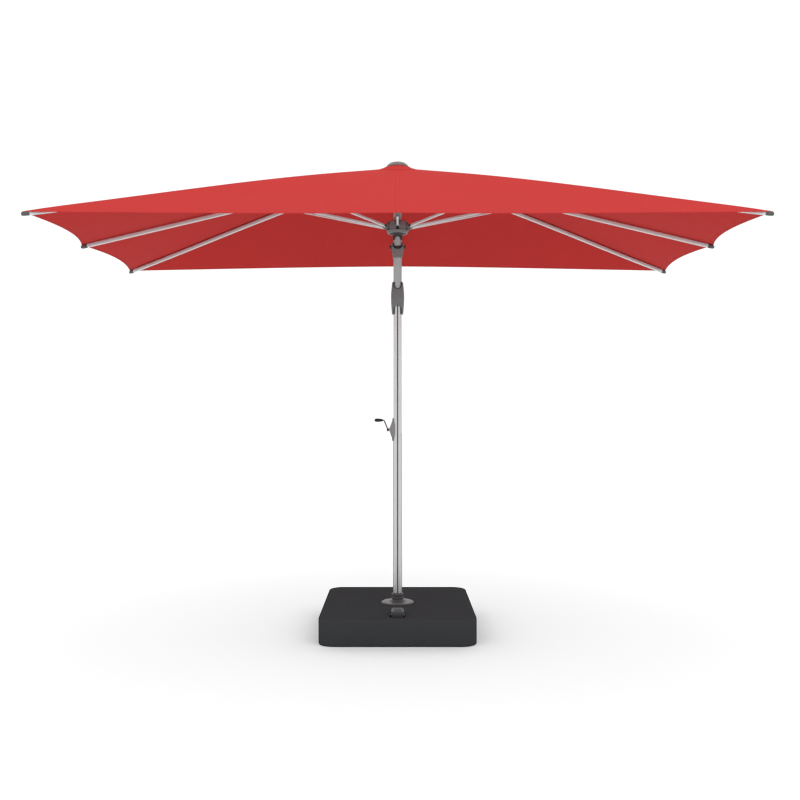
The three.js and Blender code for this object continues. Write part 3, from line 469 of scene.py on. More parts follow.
charcoal = moulded("charcoal_plastic", (0.041, 0.043, 0.0465), 0.55, 0.00012, 0.0, 700.0, 0.0)
dark_plastic = moulded("dark_plastic", (0.046, 0.046, 0.048), 0.42)
grey_plastic = moulded("grey_plastic", (0.166, 0.186, 0.192), 0.45)
taupe_plastic = moulded("taupe_plastic", (0.187, 0.186, 0.182), 0.45)
crank_plastic = moulded("crank_plastic", (0.215, 0.215, 0.216), 0.45)
flange_plastic = moulded("flange_plastic", (0.075, 0.076, 0.078), 0.4)
pedal_rubber = moulded("pedal_rubber", (0.030, 0.031, 0.033), 0.5, 0.0002, 0.05, 500.0)
black_rubber = moulded("black_rubber", (0.016, 0.016, 0.017), 0.6, 0.0001, 0.1, 600.0)
tip_plastic = moulded("tip_plastic", (0.09, 0.09, 0.092), 0.4)
cap_plastic = moulded("cap_plastic", (0.165, 0.137, 0.132), 0.42)
# The runner rim is lighter than the taupe runner as a painted highlight along its lower edge.
runner_rim_highlight = moulded("runner_rim_highlight_plastic", (0.30, 0.29, 0.285), 0.35)
cast_iron = moulded("cast_iron", (0.05, 0.05, 0.052), 0.7, 0.0004, 0.2, 250.0)


# %% [markdown]
# ### Drawn aluminium
# The mast, ribs and struts are drawn and then satin anodised. The metal is pale and smooth, with
# faint streaks along its length that show in the gloss more than in the colour.


# %% Metals
def drawn_metal(name, colour, roughness, metallic=0.85):
    material, tree, shader = new_material(name, roughness, metallic)
    drawn = effect(tree, "drawn", Fineness=420.0)
    low = tuple(0.92 * c for c in colour)
    high = tuple(min(1, 1.06 * c) for c in colour)
    tree.links.new(mixed(tree, drawn.outputs["Clouds"], low, high), shader.inputs["Base Color"])
    rough = ranged(tree, drawn.outputs["Streaks"], roughness - 0.1, roughness + 0.1)
    tree.links.new(rough, shader.inputs["Roughness"])
    bump(tree, shader, drawn.outputs["Streaks"], 0.25, 0.00005)
    return material


aluminium = drawn_metal("anodised_aluminium", (0.60, 0.60, 0.605), 0.36)
# The ribs' and tubes' blue-green tint is painted against the red light the canopy bounces onto them; the
# metal itself is neutral grey.
pale_metal = drawn_metal("rib_aluminium", (0.72, 0.80, 0.81), 0.42, 0.3)
tube_metal = drawn_metal("tube_aluminium", (0.44, 0.53, 0.535), 0.5, 0.12)
# Near-black metal for the strips in the mast's grooves: painted shade, not the metal's colour.
groove_shade_metal = drawn_metal("groove_painted_shade", (0.06, 0.06, 0.062), 0.5, 0.2)
zinc = drawn_metal("zinc_steel", (0.45, 0.45, 0.46), 0.4)

# %% [markdown]
# ### Canopy cloth
# The cloth is a solution-dyed weave. Its UV map is in metres, so the threads keep one size on
# every panel. Close up the weave shows, and from further away only slow changes of shade. Each
# seam and hem has a dashed line of stitching, placed by a second UV map that holds each point's
# distance from its seam and from its hem.


# %% Red cloth
def canopy_cloth(name, colour):
    material, tree, shader = new_material(name, 0.85, 0.0, Specular_IOR_Level=0.08)
    weave = effect(tree, "weave", Pitch=5200.0)
    edges = tree.nodes.new("ShaderNodeUVMap")
    edges.uv_map = "edges"
    cloth = tree.nodes.new("ShaderNodeUVMap")
    cloth.uv_map = "cloth"
    edge, place = (tree.nodes.new("ShaderNodeSeparateXYZ") for _ in range(2))
    tree.links.new(edges.outputs[0], edge.inputs[0])
    tree.links.new(cloth.outputs[0], place.inputs[0])
    from_seam, from_hem = edge.outputs[0], edge.outputs[1]
    slow = node(tree, "ShaderNodeTexNoise", Scale=2.2, Detail=3.0)
    tree.links.new(cloth.outputs[0], slow.inputs["Vector"])
    base = mixed(tree, slow.outputs[0], tuple(0.93 * c for c in colour), tuple(1.05 * c for c in colour))
    thread_tone = mixed(tree, weave.outputs["Shade"], (0.90, 0.90, 0.90), (1.06, 1.06, 1.06))
    tint = tree.nodes.new("ShaderNodeMix")
    tint.data_type, tint.blend_type = "RGBA", "MULTIPLY"
    tint.inputs[0].default_value = 1.0
    tree.links.new(base, tint.inputs[6])
    tree.links.new(thread_tone, tint.inputs[7])
    sewn = [effect(tree, "stitches", Distance=from_seam, Along=place.outputs[1], From=0.011).outputs[0],
            effect(tree, "stitches", Distance=from_hem, Along=place.outputs[0], From=0.020).outputs[0],
            effect(tree, "stitches", Distance=from_hem, Along=place.outputs[0], From=0.004).outputs[0]]
    thread = maths(tree, "MAXIMUM", maths(tree, "MAXIMUM", sewn[0], sewn[1]), sewn[2])
    stitched = mixed(tree, maths(tree, "MULTIPLY", thread, 0.6), tint.outputs[2],
                     tuple(0.55 * c for c in colour))
    tree.links.new(stitched, shader.inputs["Base Color"])
    rough = ranged(tree, slow.outputs[0], 0.78, 0.92)
    tree.links.new(rough, shader.inputs["Roughness"])
    ripple = node(tree, "ShaderNodeTexNoise", Scale=7.0, Detail=3.0)
    stretch = node(tree, "ShaderNodeMapping")
    stretch.inputs["Scale"].default_value = (1.0, 0.22, 1.0)
    tree.links.new(cloth.outputs[0], stretch.inputs["Vector"])
    tree.links.new(stretch.outputs[0], ripple.inputs["Vector"])
    height = maths(tree, "ADD", maths(tree, "MULTIPLY", ripple.outputs[0], 14.0),
                   maths(tree, "MULTIPLY", weave.outputs["Height"], 0.25))
    height = maths(tree, "SUBTRACT", height, maths(tree, "MULTIPLY", thread, 0.8))
    bump(tree, shader, height, 0.35, 0.001)
    return material


red_cloth = canopy_cloth("red_canopy_cloth", (0.512, 0.037, 0.034))
print("materials:", len(bpy.data.materials))

# %% [markdown]
# ## The canopy
# One sheet of cloth is stretched over eight ribs. Over each rib it follows the rib's line; between
# two ribs it is drawn straight across, sinks a little, and its hem curves in. Each half of a gore
# is sewn to its own rib and folds with it, so the cloth is made as sixteen half gores whose free
# edges meet exactly. A half gore is a grid: one parameter runs from the crown to the hem, the
# other from the rib to the middle of the gore.

# %% Canopy sizes
LENGTH, WIDTH = 3.500, 1.694
SIDE_REACH, FRONT_REACH = 1.769, 0.765
CORNER_DROP, SIDE_DROP, FRONT_DROP = 0.412, 0.407, 0.399
CORNER_BOW = 0.020
PIVOT = joint["rib_right_fold"]["pos_m"]
PIVOT_RADIUS, PIVOT_HEIGHT = PIVOT[0], PIVOT[2]
LIFT, PEAK, PEAK_WIDTH = 0.019, 0.009, 0.120
HOLE_RADIUS, TIP_SHORT = 0.030, 0.003
HEM_HOLLOW, SAG = 0.070, 0.010
SETTLE, SETTLE_LENGTH = 0.0085, 0.09
CLOTH_THICKNESS = 0.0012
corner_turn = math.atan2(WIDTH / 2, LENGTH / 2)
corner = dict(reach=math.hypot(LENGTH / 2, WIDTH / 2), drop=CORNER_DROP, bow=CORNER_BOW)
side_rib = dict(reach=SIDE_REACH, drop=SIDE_DROP, bow=0.0)
front_rib = dict(reach=FRONT_REACH, drop=FRONT_DROP, bow=0.0)
RIBS = [
    dict(name="right", turn=0.0, **side_rib),
    dict(name="back_right", turn=corner_turn, **corner),
    dict(name="back", turn=math.pi / 2, **front_rib),
    dict(name="back_left", turn=math.pi - corner_turn, **corner),
    dict(name="left", turn=math.pi, **side_rib),
    dict(name="front_left", turn=math.pi + corner_turn, **corner),
    dict(name="front", turn=1.5 * math.pi, **front_rib),
    dict(name="front_right", turn=2 * math.pi - corner_turn, **corner),
]


# %% Cloth surface
def bow_at(bow, t):
    """Height of a bent rib over its straight line: a cubic with its top a third of the way out."""
    return bow * 6.75 * t * (1 - t) ** 2


def over_rib(rib, u):
    """Points on the cloth above a rib, u of the way from the crown's hole to the rib's tip."""
    r = HOLE_RADIUS + u * (rib["reach"] - TIP_SHORT - HOLE_RADIUS)
    t = np.maximum(0, (r - PIVOT_RADIUS) / (rib["reach"] - PIVOT_RADIUS))
    lift = LIFT + PEAK * np.exp(-np.maximum(0, r - PIVOT_RADIUS) / PEAK_WIDTH)
    settled = SETTLE * np.exp((r - rib["reach"]) / SETTLE_LENGTH)
    z = PIVOT_HEIGHT - rib["drop"] * t + bow_at(rib["bow"], t) + lift - settled
    return np.stack([r * math.cos(rib["turn"]), r * math.sin(rib["turn"]), z], -1)


def cloth_point(near, far, v, u):
    """The cloth between two ribs: v is 0 over the near rib and 0.5 in the middle of the gore.
    The line from rib to rib sinks by a parabola in v, and its outer part is drawn inwards."""
    point = (1 - v)[..., None] * over_rib(near, u) + v[..., None] * over_rib(far, u)
    across = 4 * v * (1 - v)
    inward = point * (1, 1, 0)
    inward = inward / np.linalg.norm(inward, axis=-1, keepdims=True)
    ratio = near["reach"] / far["reach"]
    hollow = HEM_HOLLOW * min(1, ratio, 1 / ratio)
    point = point - inward * (hollow * across * u**2)[..., None]
    point[..., 2] -= SAG * across * 4 * u * (1 - u) * u
    return point


def cloth_u(near, far, v, radius):
    """How far out the cloth reaches a radius, found by halving a range again and again."""
    low, high = np.zeros_like(v * radius), np.ones_like(v * radius)
    for _ in range(24):
        middle = (low + high) / 2
        inside = np.linalg.norm(cloth_point(near, far, v + 0 * middle, middle)[..., :2], axis=-1) < radius
        low, high = np.where(inside, middle, low), np.where(inside, high, middle)
    return low


HEM_LINES = np.array([0.026, 0.0245, 0.0225, 0.012, 0.002, 0.0])
HEM_PROUD = np.array([0.0, 0.0004, 0.0008, 0.0008, 0.0006, 0.0])


def give_uv(piece, label, places):
    """A UV map with one place for each point of the mesh."""
    layer = piece.data.uv_layers.new(name=label)
    corners = np.empty(len(piece.data.loops), np.int32)
    piece.data.loops.foreach_get("vertex_index", corners)
    layer.data.foreach_set("uv", places.reshape(-1, 2)[corners].astype(np.float32).ravel())


def sheet_of(name, points, maps, wrap=False):
    """A grid of points made into cloth of even thickness: an upper and a lower layer half the
    thickness above and below it, joined round the rim. Maps are UV maps, one place a point."""
    rows, columns = points.shape[:2]
    half = np.array([0, 0, CLOTH_THICKNESS / 2])
    upper, count = grid_faces(rows, columns, False, wrap), rows * columns
    index = np.arange(count).reshape(rows, columns)
    rims = [index[0], index[-1]] + ([] if wrap else [index[:, 0], index[:, -1]])
    walls = []
    for rim in rims:
        rim = np.append(rim, rim[0]) if wrap else rim
        walls.append(np.stack([rim[:-1], rim[1:], rim[1:] + count, rim[:-1] + count], -1))
    faces = np.concatenate([upper, upper[:, ::-1] + count, *walls])
    piece = finish_mesh(name, np.stack([points + half, points - half]), faces, red_cloth, 60, False)
    for label, places in maps.items():
        give_uv(piece, label, np.stack([places, places]))
    outward = bmesh.new()
    outward.from_mesh(piece.data)
    bmesh.ops.recalc_face_normals(outward, faces=outward.faces)
    outward.to_mesh(piece.data)
    outward.free()
    piece.data.set_sharp_from_angle(angle=math.radians(60))
    return piece


def half_gore(rib, other, side):
    """The half gore between a rib and the middle of the gore on one side of it."""
    across, rows = 44, 60
    v = 0.5 * np.linspace(0, 1, across) ** 1.25
    u_start = cloth_u(rib, other, v, PIVOT_RADIUS + 0.006)
    rim = cloth_point(rib, other, v, np.ones(across))
    centre = cloth_point(rib, other, v, np.zeros(across))
    length = np.linalg.norm(rim - centre, axis=1)
    inner = np.linspace(0, 1, rows)[:, None] ** 1.1
    hem_start = 1 - HEM_LINES[0] / length
    u = u_start + inner * (hem_start - u_start)
    u = np.concatenate([u, 1 - HEM_LINES[1:, None] / length])
    v = np.broadcast_to(v, u.shape)
    points = cloth_point(rib, other, v, u)
    proud = np.concatenate([np.zeros(rows), HEM_PROUD[1:]])
    points[..., 2] += proud[:, None]
    along = np.array([math.cos(rib["turn"]), math.sin(rib["turn"]), 0])
    away = np.array([-along[1], along[0], 0]) * side
    from_seam = np.maximum(0, (points @ away))
    from_hem = (1 - u) * length
    cloth_uv = np.stack([from_seam * side, points @ along], -1)
    edge_uv = np.stack([from_seam, from_hem], -1)
    name = f"cloth_{rib['name']}_{'ccw' if side > 0 else 'cw'}"
    return sheet_of(name, points, {"cloth": cloth_uv, "edges": edge_uv}), points, away


def fold_axis(rib, other):
    """A direction in the plane of a half gore and at right angles to its rib, and a point on the
    rib's hinge, lifted to the cloth."""
    hinge = np.array(joint[f"rib_{rib['name']}_fold"]["pos_m"])
    outward = np.array([math.cos(rib["turn"]), math.sin(rib["turn"]), 0])
    slope = math.atan2(rib["drop"], rib["reach"] - PIVOT_RADIUS)
    line = outward * math.cos(slope) - np.array([0, 0, math.sin(slope)])
    anchor = hinge + np.array([0, 0, LIFT])
    middle = cloth_point(rib, other, np.array([0.5]), np.array([1.0]))[0]
    off = middle - anchor
    off -= line * (off @ line)
    return off / np.linalg.norm(off), anchor


# %% Sew the half gores to their ribs
cloth_area = 0
for i, rib in enumerate(RIBS):
    for side in (1, -1):
        other = RIBS[(i + side) % len(RIBS)]
        piece, points, away = half_gore(rib, other, side)
        area = sum(polygon.area for polygon in piece.data.polygons) / 2
        stands_for(piece, f"rib_{rib['name']}_arm", "red_fabric", "canopy_fabric")
        axis, anchor = fold_axis(rib, other)
        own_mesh(piece)
        cloth_area += area
print(f"canopy: 16 half gores, {cloth_area:.2f} square metres of cloth")

# %% [markdown]
# A round patch of the same cloth covers the crown, where all the seams meet. It stays with the
# mast's head when the ribs fold. It stands a little higher than the sheet, and near the middle it
# flares up to the brim of the cap.

# %% Crown patch
PATCH_HOLE, PATCH_RADIUS = 0.030, 0.106
PATCH_RINGS, PATCH_COLUMNS = 20, 12
CAP_BRIM = 0.065


def crown_patch():
    """A ring of cloth 2 mm over the sheet. Near the cap it flares up to the cap's brim: the flare
    grows with the square of the distance inside the patch's rim, up to the brim's radius."""
    r = np.linspace(PATCH_HOLE, PATCH_RADIUS, PATCH_RINGS)[:, None]
    v = np.linspace(0, 1, PATCH_COLUMNS, endpoint=False)[None, :]
    sectors = []
    for i, rib in enumerate(RIBS):
        other = RIBS[(i + 1) % len(RIBS)]
        u = cloth_u(rib, other, v, r)
        sectors.append(cloth_point(rib, other, v + 0 * u, u))
    points = np.concatenate(sectors, axis=1)
    inward = np.clip((PATCH_RADIUS - r) / (PATCH_RADIUS - CAP_BRIM), 0, 1)
    brim = PIVOT_HEIGHT + LIFT + PEAK + 0.0045
    lifted = points[..., 2] + 0.002 + 0.014 * inward**2
    points[..., 2] = np.minimum(lifted, brim)
    rim_distance = np.broadcast_to(PATCH_RADIUS - r, points.shape[:2])
    edges = np.stack([np.full(rim_distance.shape, 0.5), rim_distance], -1)
    return sheet_of("cloth_crown_patch", points, {"cloth": points[..., :2], "edges": edges}, True)


patch = stands_for(crown_patch(), "head", "red_fabric")

# %% [markdown]
# ## Ribs and struts
# A rib is a drawn aluminium bar that bends a little under the pull of the cloth. Its inner end is
# an eye on the crown's hinge wire, its outer end carries a plastic cap, and two lugs hold the
# strut. All of these lie in the rib's own upright plane, so each is drawn there with one
# coordinate along the rib and one across it.

# %% Ribs
RIB_HALF_DEPTH = 10
CAP_LENGTH = 36
RUNNER_HEIGHT = 2.2343
EAR_RADIUS = 0.077
bar_section = rounded([(-7, -10), (7, -10), (7, 10), (-7, 10)], 3.5, 4)
cap_section = rounded([(-10, -11), (10, -11), (10, 11), (-10, 11)], 5.5, 5)
strut_section = rounded([(-5.6, -7), (5.6, -7), (5.6, 7), (-5.6, 7)], 3, 4)
eye = arc((0, 0), RIB_HALF_DEPTH, 0, 345, 24)
strut_eye = arc((0, 0), 8, 0, 345, 24)


def bolt(name, place, axes, reach, radius, material):
    """A rivet with two domed heads, at a place and along the third of three directions."""
    dome = rounded([(-reach, 0), (-reach, radius * 0.8), (-reach + 1.5, radius), (-reach + 3, radius),
                    (reach - 3, radius), (reach - 1.5, radius), (reach, radius * 0.8), (reach, 0)], 0.6, 3)
    angle = np.linspace(0, 2 * np.pi, 20, endpoint=False)[None, :]
    first, second, third = axes
    radial = np.cos(angle)[..., None] * first + np.sin(angle)[..., None] * second
    points = place + MM * (dome[:, 1:, None] * radial + dome[:, :1, None] * third)
    return finish_mesh(name, points, grid_faces(len(dome), 20, False, True), material)


def build_rib(rib):
    """The rib's bar with its eye, its tip's cap, and the lugs that hold the strut. On the front
    and back ribs the lugs are on a bracket that slides. Returns what the strut needs."""
    name, turn = rib["name"], rib["turn"]
    outward = np.array([math.cos(turn), math.sin(turn), 0])
    across = np.array([-outward[1], outward[0], 0])
    hinge = outward * PIVOT_RADIUS + np.array([0, 0, PIVOT_HEIGHT])
    run = rib["reach"] - PIVOT_RADIUS
    slope = math.atan2(rib["drop"], run)
    length = math.hypot(run, rib["drop"])
    line = outward * math.cos(slope) - np.array([0, 0, math.sin(slope)])
    up = outward * math.sin(slope) + np.array([0, 0, math.cos(slope)])
    plane = (line, up, across)

    def places(start, stop, count):
        s = np.linspace(start, stop, count)[:, None]
        return hinge + line * s + up * bow_at(rib["bow"], np.clip(s / length, 0, 1))

    bar_end = length - CAP_LENGTH * MM
    bar = swept(f"rib_bar_{name}", bar_section, places(0.004, bar_end, 40), across, pale_metal)
    pivot = np.array(joint[f"strut_{name}_fold"]["pos_m"])
    along, below = (pivot - hinge) @ line, (pivot - hinge) @ up
    level = bow_at(rib["bow"], along / length)
    bolt_places = [hinge + line * s + up * bow_at(rib["bow"], s / length) for s in (0.03, bar_end - 0.016)]
    rivets = [bolt("rivet", place, plane, 7.25, 2.6, zinc) for place in bolt_places]
    merge(bar, prism("eye", eye, -6.6, 6.6, plane, pale_metal, hinge), *rivets)
    slides = f"bracket_{name}_slide" in joint
    inner, outer = (7.4, 10.2) if slides else (6.3, 9.3)
    half = 12 if slides else 15
    top = (level - below) / MM + (9.5 if slides else 3)
    lug = rounded([(-half, top), (-8, -9), (8, -9), (half, top)], 9, 6)
    lugs = [soften(prism("lug", lug, *sorted((side * inner, side * outer)), plane, pale_metal, pivot), 0.6)
            for side in (-1, 1)]
    lugs.append(bolt("rivet", pivot, plane, outer + 1, 3.6, zinc))
    if slides:
        saddle = [(-half, 8.3), (half, 8.3), (half, 9.6), (-half, 9.6)]
        merge(*lugs, prism("saddle", saddle, -8, 8, plane, pale_metal, pivot))
        stands_for(lugs[0], f"rib_{name}_slider", "steel", f"rib_bracket_{name}")
    else:
        merge(bar, *lugs)
    stands_for(bar, f"rib_{name}_arm", "silver_aluminium", f"rib_{name}")

    s = np.array([0, 1.6, 5, 16, 27, 32, 34.8, 36]) * MM + bar_end + 0.0003
    size = np.array([0.84, 0.90, 0.92, 0.90, 0.84, 0.74, 0.60, 0.42])
    cap = swept(f"rib_tip_{name}", cap_section, hinge + line * s[:, None], across, tip_plastic, size)
    stands_for(cap, f"rib_{name}_arm", "dark_plastic", f"rib_cap_{name}")
    return plane, pivot, outward


def build_strut(name, plane, pivot, outward):
    """A flat bar with an eye at each end, from the rib's lugs to the runner's ear."""
    foot = outward * EAR_RADIUS + np.array([0, 0, RUNNER_HEIGHT])
    line = (foot - pivot) / np.linalg.norm(foot - pivot)
    across = plane[2]
    path = np.linspace(pivot + line * 0.004, foot - line * 0.004, 24)
    strut = swept(f"strut_bar_{name}", strut_section, path, across, pale_metal)
    frame_of = (line, np.cross(across, line), across)
    parts = [prism("eye", strut_eye, -5.7, 5.7, frame_of, pale_metal, place) for place in (pivot, foot)]
    parts.append(bolt("boss", foot, frame_of, 6.0, 4.4, zinc))
    merge(strut, *parts)
    stands_for(strut, f"strut_{name}_arm", "silver_aluminium", f"strut_{name}")


for rib in RIBS:
    build_strut(rib["name"], *build_rib(rib))
print("ribs and struts: 8 of each")

# %% [markdown]
# ## Crown, runner and tilt joint
# These sit round the upper tube. They are mostly turned shapes, with openings cut for the ribs
# and struts. The runner has eight side panels with a slot between each two, where a strut goes in;
# a black core behind the panels is painted shade that darkens the slots and the recess above the bowl.

# %% Heights
TILT_HEIGHT = joint["canopy_tilt"]["pos_m"][2] / MM
CRANK_HEIGHT = joint["crank_turn"]["pos_m"][2] / MM
CROWN_MM, RUNNER_MM = PIVOT_HEIGHT / MM, RUNNER_HEIGHT / MM
BASE_TOP = 137
MAST_FOOT, MAST_TOP = 158.3, 1834.3
KNUCKLE_TOP, KNUCKLE_BOTTOM = 1925.3, 1744.3
rib_turns = [rib["turn"] for rib in RIBS]


def around(make, turns):
    """One piece for each turn, made facing +X and then turned in its own mesh."""
    made = []
    for turn in turns:
        piece = make()
        piece.data.transform(Matrix.Rotation(turn, 4, "Z"))
        made.append(piece)
    return made


# %% Crown
cap_bottom = CROWN_MM + 34.0
cap = turned("cap", rounded([(6, cap_bottom - 30), (20, cap_bottom - 30), (20, cap_bottom + 1),
                             (60, cap_bottom), (65.4, cap_bottom + 2), (64, cap_bottom + 8),
                             (56, cap_bottom + 18), (42, cap_bottom + 28), (24, cap_bottom + 30.2),
                             (6, cap_bottom + 30.5)], 5, 5), cap_plastic, 96)
cap_ring = turned("cap_ring", rounded([(26, cap_bottom + 28), (30, cap_bottom + 28), (30, cap_bottom + 31.4),
                                       (26, cap_bottom + 31.6)], 1.2, 3), cap_plastic, 72)
plug = turned("cap_plug", rounded([(0.5, cap_bottom + 26), (6.4, cap_bottom + 26), (6.4, cap_bottom + 31.8),
                                   (0.5, cap_bottom + 31.8)], 1, 3), dark_plastic, 40)
merge(cap, cap_ring, plug)
stands_for(cap, "head", "taupe_plastic", "crown_cap")

hub_low, hub_high = CROWN_MM - 22, CROWN_MM + 17
hub = turned("crown", rounded([(23.8, hub_low), (43, hub_low), (48, hub_low + 4), (63, CROWN_MM - 9),
                               (63.5, CROWN_MM + 6), (60, hub_high - 2), (56, hub_high), (23.8, hub_high)],
                              3, 4), dark_plastic, 96)
slots = around(lambda: prism("slot", [(43, -60), (90, -60), (90, 60), (43, 60)], -7.8, 7.8, "y",
                             dark_plastic, (0, 0, PIVOT_HEIGHT)), rib_turns)
combine(hub, slots, "DIFFERENCE")
stands_for(soften(hub, 0.8), "head", "dark_plastic", "crown_hub")

# %% Runner
z = RUNNER_MM
RUNNER_BORE, RUNNER_CORE = 47.4, 52.5
bowl_profile = [(RUNNER_BORE, z - 36), (54.5, z - 35.6), (59, z - 29.5), (62, z - 25), (61, z - 23),
                (52, z - 27), (RUNNER_BORE, z - 27)]
bowl = turned("runner_bowl", rounded(bowl_profile, 1.4, 4), taupe_plastic, 128)
# A thin pale ring under the bowl: painted highlight on the runner's rim.
rim_profile = [(RUNNER_BORE, z - 38.8), (52, z - 39.2), (55, z - 36.8), (54.4, z - 35.9),
               (RUNNER_BORE, z - 36.2)]
rim = turned("runner_rim_highlight", rounded(rim_profile, 0.6, 3), runner_rim_highlight, 128)
# The black core is painted shade: it fills the slots between the panels and the recess above the bowl with
# dark.
shade_core_profile = [(RUNNER_BORE, z - 28), (RUNNER_CORE, z - 28), (RUNNER_CORE, z + 20), (RUNNER_BORE, z + 20)]
shade_core = turned("runner_core_painted_shade", shade_core_profile, black_rubber, 96)
top_profile = [(RUNNER_BORE, z + 18), (56, z + 18), (57.5, z + 22), (55, z + 27.5), (RUNNER_BORE, z + 28)]
collar_ring = turned("runner_top", rounded(top_profile, 2, 4), taupe_plastic, 128)


def runner_panel(half_turn):
    """A curved side panel between two struts: an upright outline bent round the runner."""
    across = np.linspace(-1, 1, 17)[None, :]
    up = np.linspace(0, 1, 12)[:, None]
    bulge = np.sqrt(np.maximum(0, 1 - 0.55 * (2 * up - 1) ** 2))
    turn = across * half_turn
    radius = (RUNNER_CORE + 3 * up + 5.6 * bulge - 1.6 * across**6) * MM
    height = (z - 24.5 + 47.5 * up) * MM + 0 * across
    outer = np.stack([radius * np.cos(turn), radius * np.sin(turn), height], -1)
    inner = outer * (0.90, 0.90, 1)
    points = np.concatenate([outer, inner[::-1]])
    loops = np.arange(points.shape[0] * points.shape[1]).reshape(points.shape[:2])
    faces = grid_faces(*points.shape[:2], True, False).tolist()
    for column in (0, -1):
        faces.append(loops[:, column].tolist())
    return finish_ngons("panel", points, faces, taupe_plastic, 50)


# Between two corner struts and a side strut the gaps differ, so each panel has its own width.
STRUT_SLOT, PANEL_RADIUS = 8.5, 58
ends = rib_turns + [rib_turns[0] + 2 * math.pi]
panels = []
for first, last in zip(ends[:-1], ends[1:]):
    half_turn = (last - first) / 2 - math.asin(STRUT_SLOT / PANEL_RADIUS)
    panels += around(lambda: runner_panel(half_turn), [(first + last) / 2])


def runner_ear():
    """Two cheeks that hold a strut's eye, with a bolt through them."""
    outline = rounded([(50, -14), (66, -13), (84, -7), (86, 3), (80, 8.5), (62, 9), (50, 9)], 5, 5)
    cheeks = [prism("ear", outline, low, high, "y", taupe_plastic, (0, 0, RUNNER_HEIGHT))
              for low, high in ((-11.2, -6.7), (6.7, 11.2))]
    head = bolt("ear_bolt", np.array([EAR_RADIUS, 0, RUNNER_HEIGHT]), EAR_AXES, 12.8, 5.2, black_rubber)
    return merge(*[soften(cheek, 0.9) for cheek in cheeks], head)


EAR_AXES = (np.array([1.0, 0, 0]), np.array([0, 0, 1.0]), np.array([0, 1.0, 0]))
merge(bowl, rim, shade_core, collar_ring, *panels, *around(runner_ear, rib_turns))
stands_for(bowl, "runner", "taupe_plastic", "runner")

# %% Seat under the runner
skirt, cone = z - 77, z - 47
seat = turned("seat", rounded([(23.7, skirt), (26.4, skirt), (27.6, cone - 8), (29, cone),
                               (38, cone + 6), (44.8, cone + 20), (45.4, z + 10), (42, z + 16),
                               (23.7, z + 16)], 3, 5), dark_plastic, 96)
arch = prism("arch", arc((0, skirt + 4), 15.5, 0, 360, 40)[:-1], -60, 0, "y", dark_plastic)
stands_for(soften(combine(seat, [arch], "DIFFERENCE"), 0.6), "head", "grey_plastic", "runner_seat")

# %% Upper and middle tubes
TUBE_BORE, TUBE_RADIUS = 21, 23.5


def tube(name, bottom, top):
    """A plain round tube between two heights."""
    profile = [(TUBE_BORE, bottom), (TUBE_RADIUS, bottom), (TUBE_RADIUS, top), (TUBE_BORE, top)]
    return turned(name, profile, tube_metal, 96)


upper = tube("upper_pole", TILT_HEIGHT + 6.5, hub_high - 1)
stands_for(upper, "head", "silver_aluminium", "upper_tube")
middle = tube("middle_pole", MAST_TOP + 1, TILT_HEIGHT - 30.5)
stands_for(middle, "mast", "silver_aluminium", "middle_tube")

# %% [markdown]
# The tilt joint is a cup with a scoop cut from its front, so that the upper tube can lean
# forwards out of it. A black liner inside it shows as a thin dark line round the scoop; it is painted
# shade for the gap round the tube. The knuckle below has the same scoop at its top, with the same
# painted shade liner, and an arch at its foot, through which the grooved mast shows.

# %% Tilt collar and knuckle


def scooped(name, profile, scoop_half, scoop_bottom, material):
    """A turned shell with a round-bottomed scoop cut out of its front, from a height up."""
    shell = turned(name, profile, material, 128)
    scoop = np.vstack([arc((0, scoop_bottom + scoop_half), scoop_half, 180, 360, 32),
                       [(scoop_half, scoop_bottom + 200), (-scoop_half, scoop_bottom + 200)]])
    return combine(shell, [prism("scoop", scoop, -90, 0, "y", material)], "DIFFERENCE")


t = TILT_HEIGHT
collar = scooped("tilt_cup", rounded([(24.0, t - 61), (26.3, t - 61), (27.6, t - 57), (30.5, t - 34),
                                      (34, t - 12), (35.2, t + 4), (35.2, t + 20), (33.2, t + 23),
                                      (27.4, t + 23), (27.4, t - 25), (24.0, t - 29)], 2.5, 4),
                 27.5, t - 15, taupe_plastic)
# Black liner as painted shade: its edge is the dark gap round the upper tube.
tilt_shade_piece = scooped("tilt_painted_shade", [(24.8, t - 26), (27.9, t - 26), (27.9, t + 21.6), (24.8, t + 21.6)],
                24.5, t - 13, black_rubber)
merge(soften(collar, 0.8), tilt_shade_piece)
stands_for(collar, "mast", "taupe_plastic", "tilt_collar")

knobs = []
for side in (-1, 1):
    knob = turned("knob", rounded([(1, side * 36), (10.5, side * 36), (11.3, side * 38), (11.3, side * 43),
                                   (9.5, side * 45.6), (5, side * 45.6), (4, side * 44.2), (1, side * 44.2)],
                                  1, 3), dark_plastic, 48, "x", (0, 0, t * MM))
    knobs.append(knob)
bolt_bar = turned("tilt_bar", [(0.5, -37), (5, -37), (5, 37), (0.5, 37)], zinc, 32, "x", (0, 0, t * MM))
merge(bolt_bar, *knobs)
stands_for(bolt_bar, "mast", "dark_plastic", "tilt_bolt")

b, k = KNUCKLE_BOTTOM, KNUCKLE_TOP
knuckle_profile = [(24.1, b), (30.2, b), (32.2, b + 3), (34.2, b + 30), (36.6, b + 62), (37.6, b + 92),
                   (36.8, b + 122), (33.8, b + 152), (31.6, k - 5), (30, k), (26.4, k), (26.4, k - 60),
                   (24.1, k - 62)]
knuckle = scooped("knuckle_shell", rounded(knuckle_profile, 3, 4), 22.5, k - 42, grey_plastic)
foot_arch = np.vstack([arc((0, b + 27), 22.5, 0, 180, 32), [(-22.5, b - 20), (22.5, b - 20)]])
combine(knuckle, [prism("arch", foot_arch, -90, 90, "y", grey_plastic)], "DIFFERENCE")
